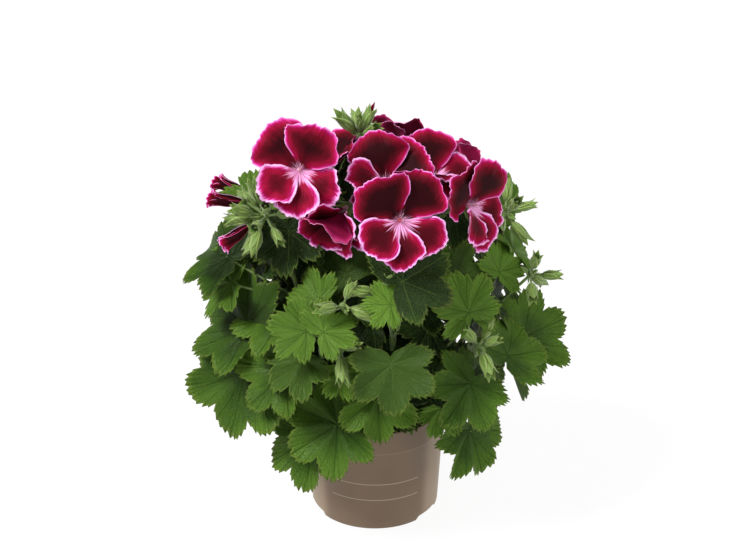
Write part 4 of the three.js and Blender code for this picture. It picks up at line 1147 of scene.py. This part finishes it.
# Stalks
seeds = {"stem": 100, "flower": 300, "openingBud": 500, "crumbs": 3}  # of the random draws
tubeSides = {"stem": 12, "stalk": 8, "stamen": 6, "neck": 10}
swelling = {"more": 0.28, "reach": 0.014}  # of the stem where a leaf leaves it, in shares of its length
stalkFoot = {"girth": 1.35, "reach": 0.05}  # a stalk thickens where it leaves the stem


def stemLine(entry, path):
    t = np.linspace(0, 1, 60)
    radii = stemForm["radius"] + (stemForm["tip"] - stemForm["radius"]) * t
    for leaf in entry["leaves"]:
        radii = radii * (1 + swelling["more"] * np.exp(-((t - leaf[0]) / swelling["reach"]) ** 2))
    return path.at(t), radii


def taperedLine(path, start, end, steps=12):
    t = np.linspace(0, 1, steps + 1)
    foot = 1 + (stalkFoot["girth"] - 1) * np.exp(-t / stalkFoot["reach"])
    return path.at(t), (start + (end - start) * t) * foot


def leafStalkLine(path, start, end, steps):  # its point is hidden in the blade
    points, radii = taperedLine(path, start, end, steps)
    return points, np.append(radii[:-1], leafStalk["end"])


def beads(start, way, rows):  # a straight stalk, from rows of the way along it and the radius there
    along, radii = vec(rows).T
    return start + way * along[:, None], radii


def leafStalkPath(stemPath, leaf, blade, bentBlade, span, phase, sway):
    start = stemPath.at(leaf[0])
    reach = np.linalg.norm(start - blade.origin)
    behind = blade.origin - (blade.along * leafStalk["trail"] + blade.out * leafStalk["dip"]) * reach
    behind = behind + ((start + blade.origin) / 2 - behind) * leafStalk["slack"]
    middle = behind + lookAt(leaf[1] + 90, 0) * sway[0] + up * sway[1]
    return bend(start, middle, leafFoot(bentBlade, span, phase))


def umbelPath(stemPath, entry, sway):
    start, end = stemPath.at(entry.get("from", flowerStalk["from"])), vec(entry["at"])
    return bend(start, (start + end) / 2 + vec([sway[0], 0, sway[1]]), end)


def pedicelPath(start, flower, sway):
    across = unit(np.cross(flower.way, flower.base - start))
    middle = (start + flower.base) / 2 + flower.way * sway[1] + across * sway[0]
    return bend(start, middle, flower.base + flower.way * pedicel["sunk"])


def closedBuds(entry, u):  # the way of each closed bud, its umbel's lean, its stalk's length and its age
    lean = unit(vec(entry["toward"]))
    side = vec([1, 0, 0]) if abs(lean[2]) > 0.8 else up
    for i in range(entry["buds"]):
        polar = math.acos(1 - entry.get("spread", budForm["spread"]) * (i + 0.5) / entry["buds"])
        radial = turned(unit(np.cross(side, lean)), lean, math.degrees(i * goldenAngle + u))
        age = budForm["ages"][i % len(budForm["ages"])]
        yield lean * math.cos(polar) + radial * math.sin(polar), lean, entry["reach"] / 2, age


def budPoints(start, way, lean, sway, stalk, age):  # its way and reach, and its belly's corners in the solid
    aside, rise = (budForm["sway"] * s for s in sway)
    way = unit(turned(way, lean, math.degrees(aside)) + up * rise)
    length = stalk + budForm["length"] * age
    belly = stalk + budForm["belly"] * (length - stalk)
    path = Path([start, start + way * length])
    radii = [pedicel["radius"], budForm["radius"] * age]
    return way, length, tubeCorners(path, [0, belly / length], radii, [1])


# Stems. A shoot gathers what grows on one of them: its stalks as lines, its sepals as places, its leaves.
class Shoot:
    def __init__(self, entry, number):
        foot, collar = ([*entry["root"], z] for z in (stemForm["foot"], stemForm["collar"]))
        self.entry = entry
        self.name = entry["name"]
        self.path = centripetal([foot, collar, *entry["path"]])
        self.corners = cornersOf("stem_" + self.name)
        self.draw = np.random.default_rng(seeds["stem"] + number)
        self.heads = [vec(umbel["at"]) for umbel in entry["umbels"]]
        self.stalks, self.sepals, self.openSepals, self.barePetals = [], [], [], []
        self.leaves = Draft()

    def stalkPath(self, pathOf, shares, radii, kept):  # with the sway that its solid was built with
        sway = builtChoice(swayChoices, lambda c: tubeCorners(pathOf(c), shares, radii, kept),
                           self.corners, 0)
        return pathOf(sway)


def addFlowerStalks(shoot):
    radius, tip = flowerStalk["radius"], flowerStalk["tip"]
    for umbel in shoot.entry["umbels"]:
        path = shoot.stalkPath(lambda c: umbelPath(shoot.path, umbel, c), [0, 0.5],
                               [radius, (radius + tip) / 2], [1])
        shoot.stalks.append(taperedLine(path, radius, tip))


calyxLook = {
    "stalkEnd": 0.95, "stalkSteps": 20,
    "cup": [[0.6, 1.7], [2.4, 2.3], [4.6, 2.6]],  # how far along the flower's way, and its radius there
    "turn": 36, "back": 3.4, "aside": 1.6,  # where a sepal stands from its petal and from the throat
    "size": [1.0, 2.2, 5.5], "uneven": [0.85, 1.15],
}


def addCalyx(shoot, flower):
    look = calyxLook
    path = shoot.stalkPath(lambda c: pedicelPath(shoot.heads[0], flower, c), [0, 1 / 3, 2 / 3],
                           [pedicel["radius"]] * 3, [1, 2])
    stalk = taperedLine(path, pedicel["radius"], look["stalkEnd"], look["stalkSteps"])
    cup = beads(flower.base, flower.way, look["cup"])
    shoot.stalks.append([np.concatenate(both) for both in zip(stalk, cup)])
    for turn in petalTurns:
        outward = flower.ray(turn + look["turn"])
        place = flower.throat - flower.way * look["back"] + outward * look["aside"]
        size = vec(look["size"]) * shoot.draw.uniform(*look["uneven"], 3)
        shoot.openSepals.append((place, flower.way, outward, size))


# A bud is a closed heart in its sepals. The bracts stand round the knot where the stalks of an umbel meet.
budLook = {
    "stalk": [0.75, 0.95], "stalkSteps": 4, "sunk": 1, "sepals": 5, "girth": 1.25, "stretch": 1.2,
    "aside": 8, "uneven": [0.9, 1.08],  # degrees and sizes drawn for each sepal
    "heart": [[0.03, 0.5], [0.2, 1.0], [0.42, 1.12], [0.62, 0.8], [0.78, 0.4], [0.9, 0.1]],
    "heartGirth": 0.85,
    "bare": {"middle": 1}, "bareSize": [0.7, 0.7, 1.12],  # which bud of a stem shows its petals
    "knot": [[-3.4, 1.0], [-2.2, 2.4], [0, 3.1], [2, 2.2], [3.2, 0.5]],
    "bracts": 7, "bract": [1.4, 1.5, 7.5], "bractUneven": [0.8, 1.2], "bractAt": 1.5, "bractLean": 0.5,
}


def addBud(shoot, start, way, lean, stalk, age, isBare):
    look, draw = budLook, shoot.draw
    sway = builtChoice(swayChoices, lambda c: budPoints(start, way, lean, c, stalk, age)[2],
                       shoot.corners, 0)
    way, length, _ = budPoints(start, way, lean, sway, stalk, age)
    shoot.stalks.append(taperedLine(Path([start, start + way * (stalk + look["sunk"])]), *look["stalk"],
                                    look["stalkSteps"]))
    girth, foot = budForm["radius"] * age * look["girth"], start + way * stalk
    heart = vec(look["heart"]) * [length - stalk, girth * look["heartGirth"]]
    shoot.stalks.append(beads(foot, way, heart))
    first = unit(np.cross(way, lean + vec([0.1, 0.2, 0.3])))
    size = vec([girth, girth, (length - stalk) * look["stretch"]])
    for k in range(look["sepals"]):
        outward = turned(first, way, 360 / look["sepals"] * k + draw.uniform(-look["aside"], look["aside"]))
        shoot.sepals.append((foot, way, outward, size * draw.uniform(*look["uneven"], 3)))
        if isBare:
            shoot.barePetals.append((foot + way * look["sunk"], way, outward, size * look["bareSize"]))


def addUmbel(shoot, umbel, u):
    look, draw, start = budLook, shoot.draw, shoot.heads[u]
    for i, (way, lean, stalk, age) in enumerate(closedBuds(umbel, u)):
        addBud(shoot, start, way, lean, stalk, age, look["bare"].get(shoot.name) == i)
    toward = unit(vec(umbel["toward"]))
    shoot.stalks.append(beads(start, toward, look["knot"]))
    for _ in range(look["bracts"]):
        outward = unit(draw.normal(size=3))
        aside = unit(np.cross(outward, draw.normal(size=3)))
        size = vec(look["bract"]) * draw.uniform(*look["bractUneven"])
        shoot.sepals.append((start + outward * look["bractAt"], unit(outward + toward * look["bractLean"]),
                             aside, size))


# Small shaded leaves between the stems and the outer foliage, which close up the heart of the plant; their
# colour is drawn darker, as painted shade. Some stems have a few rows of their own, which are read as in the
# plant's lists.
innerLook = {
    "shares": [0.3, 0.46, 0.62, 0.76], "before": 0.1, "outward": [6, 16], "aside": 26, "asides": [0.5, 1.1],
    "facing": 15, "rise": [14, 46], "span": [30, 40], "above": 6, "lowest": 134,
    "tintAndPaintedLight": [-0.5, 0.1], "rows": [0.12, 0.34, 0.56, 0.76, 0.9, 1], "stalk": [1.05, 0.8], "stalkSteps": 10,
    "front_left": [[0.85, -53, 83, 268, -24, 30, -78, 36]],
    "left": [[0.5, -70, 72, 234, -30, 34, 90, 44], [0.45, -79, 54, 212, -14, 30, 60, 42],
             [0.8, -97, 82, 258, -20, 30, 95, 38]],
    "front": [[0.9, -86, 28, 292, -10, 30, -80, 36], [0.95, -124, 29, 306, -10, 30, -86, 30]],
    "middle": [[0.4, 20, 36, 180, 14, 30, 80, 40], [0.3, 60, 44, 150, 40, 30, -60, 42]],
    "front_right": [[0.8, 97, 62, 266, 20, 30, -85, 38]],
}


def innerLeaves(shoot):
    look, draw = innerLook, shoot.draw
    yield from look.get(shoot.name, [])
    for k, share in enumerate(look["shares"]):
        x, y, z = shoot.path.at(share)
        turn = math.degrees(math.atan2(x, -y)) + (-1) ** k * look["aside"] * draw.uniform(*look["asides"])
        radius = math.hypot(x, y) + draw.uniform(*look["outward"])
        yield [share - look["before"], turn, radius, max(z + look["above"], look["lowest"]),
               turn + draw.uniform(-look["facing"], look["facing"]), draw.uniform(*look["rise"]),
               draw.uniform(0, 360), draw.uniform(*look["span"])]


def addInnerLeaves(shoot):
    for leaf in innerLeaves(shoot):
        blade, span, phase = leafBlade(leaf), leaf[-1], shoot.draw.uniform(0, 6)
        path = leafStalkPath(shoot.path, leaf, blade, blade, span, phase, (0, 0))
        shoot.stalks.append(leafStalkLine(path, *innerLook["stalk"], innerLook["stalkSteps"]))
        # drawn darker than the outer leaves: painted shade
        tone = (0, shoot.draw.uniform(*innerLook["tintAndPaintedLight"]))
        addLeaf(shoot.leaves, blade, span, phase, tone, shoot.draw, innerLook["rows"])


outerLook = {
    "phase": 2.1, "stalkEnd": 0.85, "stalkSteps": 16,
    "youth": 0.85, "youngSpan": [24, 44], "youngFrom": 170, "tiny": 30,  # small leaves high up are young
    "anyYouth": [0, 0.14],
    "paintedLightByStem": {"front_middle": -0.95, "front": -0.85, "front_low": 0.6, "front_left": 0.25,
                "front_right": 0.2, "right_low": 0.6, "right": 0.7, "left": -0.1},  # painted light and shade: how much lighter or darker the leaves are drawn than on other stems
}


def addOuterLeaves(shoot):
    look, draw = outerLook, shoot.draw
    for k, leaf in enumerate(shoot.entry["leaves"]):
        blade, span, phase = leafBlade(leaf), leaf[-1], look["phase"] * k
        choice = builtChoice(bendChoices, lambda c: solidLeafPoints(blade.bent(c), span * c[0], phase),
                             shoot.corners)
        bentBlade, size = blade.bent(choice), span * choice[0]
        path = shoot.stalkPath(lambda c: leafStalkPath(shoot.path, leaf, blade, bentBlade, size, phase, c),
                               [0, 0.5], [leafStalk["radius"]] * 2, [1])
        shoot.stalks.append(leafStalkLine(path, leafStalk["radius"], look["stalkEnd"], look["stalkSteps"]))
        isYoung = leaf[3] > look["youngFrom"] or size < look["tiny"]
        smallest, widest = look["youngSpan"]
        youth = (1 - float(smoothStep(size, smallest, widest))) * look["youth"] * isYoung
        youth = youth + draw.uniform(*look["anyYouth"])
        # a random lightness, plus painted light and shade for the stem
        light = draw.uniform(0, 1) + look["paintedLightByStem"].get(shoot.name, 0)
        addLeaf(shoot.leaves, bentBlade, size, phase, (youth, light), draw)


hairLook = {"Per Square Metre": 6e5, "Root": 0.00004, "Length": 0.0011}


def addStem(entry, number):
    shoot = Shoot(entry, number)
    name = shoot.name
    addFlowerStalks(shoot)
    for flower in [*openFlowers, *halfOpen]:
        if flower.stem == name:
            addCalyx(shoot, flower)
    for u, umbel in enumerate(entry["umbels"]):
        addUmbel(shoot, umbel, u)
    addInnerLeaves(shoot)
    addOuterLeaves(shoot)
    buds = grownCopies("buds_" + name, budSepal, shoot.sepals, "sepal")
    pieces = [shoot.leaves.made("leaves_" + name), buds,
              grownStalks("stem_axis_" + name, [stemLine(entry, shoot.path)], tubeSides["stem"]),
              grownStalks("stalks_" + name, shoot.stalks, tubeSides["stalk"]),
              grown("hairs_" + name, buds.data.copy(), hairTree, "stalk", {**hairLook, "Seed": number})]
    if shoot.openSepals:
        pieces.append(grownCopies("calyces_" + name, openSepal, shoot.openSepals, "sepal"))
    for piece in pieces:
        settled(piece, "stem_" + name)
    if shoot.barePetals:
        settled(grownCopies("bud_petals_" + name, budPetal, shoot.barePetals, "petal"),
                "stem_" + name)


# Open flowers. The stamens rise from the throat, and bend up a little.
heartLook = {
    "stamens": 7, "aside": 15, "spread": 20, "spreads": [0.5, 1.2],  # in degrees, and shares of them
    "length": 11, "lengths": [0.75, 1.05], "rise": 2.5, "radius": 0.28, "taper": [1.2, 0.6], "anther": 0.8,
    "from": [-1.5, 0.6], "by": [0.55, 0.8],  # forward and outward, the second in shares of the length
    "neck": [[-4.4, 1.7], [-0.6, 1.75], [1.5, 2.4], [3.0, 0.8]],  # millimetres forward, and its radius
}


def addPetals(flower, index, draw):
    node = f"flower_{index + 1}"
    corners = cornersOf(node)
    petals = Draft()
    byPetal, byFlower = petalForm["phases"]
    for k, lean in enumerate(upperLean):
        phase = byPetal * k + byFlower * index
        built = flower.folded + lean
        size, fold = builtChoice(
            foldChoices, lambda c: solidPetalPoints(flower, k, c[1] + built, c[0], phase), corners)
        order = 1 - k if k < 2 and index in finePetal["leftOver"] else k
        addPetal(petals, flower, k, fold + flower.folded + upperLean[order], size, phase, order,
                 finePetal["deepening"].get(index, 1), draw)
    settled(petals.made(f"petals_{index + 1}"), node)


def addHeart(flower, index, draw):
    look = heartLook
    lines, tips = [], []
    t = np.linspace(0, 1, 7)
    for k in range(look["stamens"]):
        outward = flower.ray(360 / look["stamens"] * k + draw.uniform(-look["aside"], look["aside"]))
        spread = math.radians(look["spread"] * draw.uniform(*look["spreads"]))
        reach = look["length"] * draw.uniform(*look["lengths"])
        start = flower.throat + flower.way * look["from"][0] + outward * look["from"][1]
        middle = flower.throat + flower.way * reach * look["by"][0] + outward * look["by"][1]
        tip = flower.throat + flower.way * reach * math.cos(spread) + outward * reach * math.sin(spread)
        tip = tip + flower.ray(90) * look["rise"]
        thick, thinner = look["taper"]
        lines.append((bend(start, middle, tip).at(t), look["radius"] * (thick - thinner * t)))
        tips.append((tip, unit(flower.way + outward), outward, vec([1, 1, 1]) * look["anther"]))
    neck = beads(flower.throat, flower.way, look["neck"])
    for piece in (grownStalks(f"stamens_{index + 1}", lines, tubeSides["stamen"], "filament"),
                  grownStalks(f"neck_{index + 1}", [neck], tubeSides["neck"], "filament"),
                  grownCopies(f"anthers_{index + 1}", anther, tips, "anther")):
        settled(piece, f"flower_{index + 1}")


def addFlower(flower, index):
    draw = np.random.default_rng(seeds["flower"] + index)
    addPetals(flower, index, draw)
    addHeart(flower, index, draw)


# The petals of a half-open bud, rolled round each other into a funnel with a frilled mouth. A petal reaches
# round the bud by its spread to each side, and one side of it lies within the next petal.
rolledLook = {
    "rows": 16, "columns": 18, "thickness": 0.3,
    "length": 28, "lengths": [0.86, 0.04], "girths": [0.8, 0.08],  # shares: of the first, and more for each
    "girth": [[0, 1.5], [0.2, 2.8], [0.45, 3.9], [0.7, 3.8], [0.88, 4.5], [1, 6.0]],
    "round": 0.1, "sunk": 3, "spread": 62, "spreads": [0.35, 0.65], "twist": 46, "within": 0.22,
    "frill": 1.5, "frills": 5, "crimp": 0.7, "crimps": [14, 11],
    "topRim": 1.4, "sideRim": 26, "share": [0.3, 0.7],  # how soon its colours deepen from its edges
}


def addOpeningBud(flower, index):
    look = rolledLook
    draw = np.random.default_rng(seeds["openingBud"] + index)
    petals = Draft()
    t = np.linspace(0, 1, look["rows"] + 1)[:, None]
    side = np.linspace(-1, 1, look["columns"] + 1)[None]
    t, side = np.broadcast_arrays(t, side)
    least, rest = look["spreads"]
    spread = look["spread"] * (least + rest * np.sin(np.pi * np.clip(t * 0.62 + 0.08, 0, 1)))
    for k, turn in enumerate(petalTurns):
        angle = np.radians(turn + flower.turn + look["twist"] * t + spread * side)[..., None]
        shift = draw.uniform(0, 6)
        wide, long = (first + more * k for first, more in (look["girths"], look["lengths"]))
        girth = np.interp(t, *zip(*look["girth"])) * (1 - look["within"] * side) * wide
        girth = girth + t ** 4 * (look["frill"] * np.sin(look["frills"] * side + shift)
                                  + look["crimp"] * np.sin(look["crimps"][0] * side + shift))
        reach = (look["length"] * long * t * (1 - look["round"] * side ** 2)
                 + t ** 4 * look["crimp"] * np.sin(look["crimps"][1] * side))
        ray = flower.right * np.cos(angle) + flower.above * np.sin(angle)
        points = flower.throat + ray * girth[..., None] + flower.way * (reach - look["sunk"])[..., None]
        rim = np.minimum((1 - t) * look["length"] * look["topRim"], (1 - np.abs(side)) * look["sideRim"])
        places = np.stack([side, look["share"][0] + look["share"][1] * t, np.zeros_like(t)], -1)
        margin = np.stack([rim, np.ones_like(t), np.full_like(t, draw.uniform(0, 1))], -1)
        half = look["thickness"] / 2
        petals.addBlade(points + ray * half, points - ray * half, "petal", {
            "petal": [places, places], "margin": [margin, margin]})
    settled(petals.made(f"rolled_petals_{index + 1}"), f"opening_bud_{index + 1}")


openFlowers, halfOpen = ([Flower(entry) for entry in entries] for entries in (flowers, openingBuds))
for number, entry in enumerate(stems):
    addStem(entry, number)
print("stems, leaves and buds grown")
for index, flower in enumerate(openFlowers):
    addFlower(flower, index)
for index, flower in enumerate(halfOpen):
    addOpeningBud(flower, index)
print(f"flowers made; the farthest miss from a solid is {max(misses):.2f} mm")
for shape in (budSepal, openSepal, budPetal, anther):
    bpy.data.objects.remove(shape)


# Pot
potForm = {
    "rim": 60, "foot": 54, "height": 95, "wall": 1.2, "band": 21, "step": 0.8, "floor": 4, "footWidth": 9,
    "hollow": [[9, 0.1], [30, 0.3], [55, 0.6]],  # heights, and how far the wall curves in there
    "pad": 15, "sides": 160,
    "notches": [-67, 56, 176], "notchWidth": 26, "notchHeight": 3.5,  # the turns of the channels and drains
    "drainRing": 30, "drain": 4, "drainSides": 32, "drill": [-2, 12],
    "crisp": 42,  # edges sharper than this many degrees stay crisp
}


def potProfile():
    p = potForm
    rim, foot, wall, floor, height = (p[name] for name in ("rim", "foot", "wall", "floor", "height"))
    bandFoot = height - p["band"]
    ring = foot - p["footWidth"]  # the inner side of the foot ring

    def radius(z):
        return foot + (rim - foot) * z / height

    wallTop = radius(bandFoot) - p["step"]
    half = wall / 2
    underside = [(p["pad"], 0), (p["pad"] + 1.6, 0.7), (p["pad"] + 2, floor)]
    footRing = [(ring, floor), (ring + 1.4, 0.8), (ring + 2, 0),
                (foot - 1.2, 0), (foot - 0.4, 0.4), (foot, 1.4)]
    outside = [(radius(z) - inwards, z) for z, inwards in p["hollow"]]
    band = [(wallTop, bandFoot - 0.6), (wallTop + 0.1, bandFoot), (radius(bandFoot + 1), bandFoot + 1),
            (radius(bandFoot + 1.6), bandFoot + 1.8), (radius(height - 1), height - 1.5)]
    lip = [(rim - half + half * math.cos(a) * 1.1, height - half + half * math.sin(a))
           for a in np.linspace(0, math.pi, 7)]
    inside = [(rim - wall - 0.1, height - 2), (wallTop - wall, bandFoot), (foot - wall - 0.4, floor + 4),
              (foot - wall - 3, floor + 1.3), (p["pad"], floor + wall)]
    return [*underside, *footRing, *outside, *band, *lip, *inside]


def notched(points):  # the foot is lifted where the channels under it come out
    x, y, z = np.moveaxis(points, -1, 0)
    turn = np.degrees(np.arctan2(x, -y))
    lift = np.zeros_like(turn)
    half = math.degrees(potForm["notchWidth"] / 2 / potForm["foot"])
    for at in potForm["notches"]:
        away = np.abs((turn - at + 180) % 360 - 180)
        lift = np.maximum(lift, smoothStep(half - away, -1, 1.4))
    isFoot = (z < potForm["notchHeight"]) & (np.hypot(x, y) > potForm["foot"] - potForm["footWidth"] - 0.5)
    return np.stack([x, y, np.where(isFoot, z + (potForm["notchHeight"] - z * 0.9) * lift, z)], -1)


pot, drills = Draft(), Draft()
pot.addLathed(potProfile(), potForm["sides"], "pot", notched)
for turn in potForm["notches"]:
    drills.addLathed([(potForm["drain"], z) for z in potForm["drill"]], potForm["drainSides"], "pot",
                     lambda points: points + lookAt(turn, 0) * potForm["drainRing"])
undrilled, drill = pot.made("pot_undrilled"), drills.made("drill")
drains = undrilled.modifiers.new("drains", "BOOLEAN")
drains.operation, drains.solver, drains.object = "DIFFERENCE", "EXACT", drill
potPiece = shown("pot_wall", plainMesh(undrilled))
potPiece.data.set_sharp_from_angle(angle=math.radians(potForm["crisp"]))
bpy.data.objects.remove(drill)
settled(potPiece, "pot")
print("pot turned")

# Soil
soilForm = {
    "top": 84, "crown": 3, "brim": 55.6, "shoulder": 72, "foot": 52, "floor": 5.6, "middle": 2, "lump": 0.8,
    "rows": 16, "sides": 72,
}
crumbLook = {"Per Square Metre": 4e4, "Size": 0.0013, "Seed": seeds["crumbs"]}


def crumbly(points):
    x, y, z = np.moveaxis(points, -1, 0)
    lump = (np.sin(x * 0.41 + 1) * np.cos(y * 0.37) + 0.6 * np.sin(x * 0.93 + y * 0.71)
            + 0.4 * np.cos(y * 1.7 - x * 1.3))
    return np.stack([x, y, np.where(z > soilForm["top"] - 0.1, z + soilForm["lump"] * lump, z)], -1)


topRows = [(soilForm["brim"] * share, soilForm["top"] + soilForm["crown"] * (1 - share ** 2))
           for share in np.linspace(1, 0.04, soilForm["rows"])]
sideRows = [(soilForm["middle"], soilForm["floor"]), (soilForm["foot"], soilForm["floor"]),
            (soilForm["brim"] - 0.8, soilForm["shoulder"])]
soil = Draft()
soil.addLathed([*sideRows, *topRows], soilForm["sides"], "soil", crumbly)
soilPiece = soil.made("soil_lump")
settled(soilPiece, "soil")
settled(grown("soil_crumbs", soilPiece.data.copy(), crumbTree, "soil", crumbLook), "soil")
print("soil filled in")

# Stage
stageLook = {
    "floor": (0.09, 0.09, 0.09, 1), "glow": 0.92, "sky": (0.99, 0.99, 0.97, 1), "skyStrength": 0.32,
    "suns": [(-62, 48, 24, 3.7), (62, 38, 60, 1.4)],  # turn, rise and width in degrees, and strength
    "lens": 72, "sensor": 36, "camera": (0, -1.1164, 0.7067), "down": 24.2,
}
floorMesh = bpy.data.meshes.new("floor")
floorMesh.from_pydata([(-9, -9, 0), (9, -9, 0), (9, 9, 0), (-9, 9, 0)], [], [(0, 1, 2, 3)])
floorMesh.materials.append(finishOf("floor", {
    "Base Color": stageLook["floor"], "Roughness": 0.9, "Specular IOR Level": 0.1,
    "Emission Color": (1, 1, 1, 1), "Emission Strength": stageLook["glow"]}, lambda tree: {}))
floor = shown("floor", floorMesh)
world = bpy.data.worlds.new("studio")
bpy.context.scene.world = world
world.use_nodes = True
world.node_tree.nodes["Background"].inputs["Color"].default_value = stageLook["sky"]
world.node_tree.nodes["Background"].inputs["Strength"].default_value = stageLook["skyStrength"]
for k, (turn, rise, width, strength) in enumerate(stageLook["suns"]):
    light = bpy.data.lights.new(f"sun_{k}", "SUN")
    light.angle, light.energy = math.radians(width), strength
    sun = bpy.data.objects.new(f"sun_{k}", light)
    sun.rotation_euler = Vector(lookAt(turn, rise)).to_track_quat("Z", "Y").to_euler()
    bpy.context.scene.collection.objects.link(sun)

camera = bpy.data.objects.new("camera", bpy.data.cameras.new("camera"))
camera.data.lens, camera.data.sensor_width = stageLook["lens"], stageLook["sensor"]
camera.data.sensor_fit = "HORIZONTAL"
camera.location = stageLook["camera"]
camera.rotation_euler = (math.radians(90 - stageLook["down"]), 0, 0)
bpy.context.scene.collection.objects.link(camera)
bpy.context.scene.camera = camera
bpy.context.scene.view_settings.view_transform = "Standard"
print("stage set")
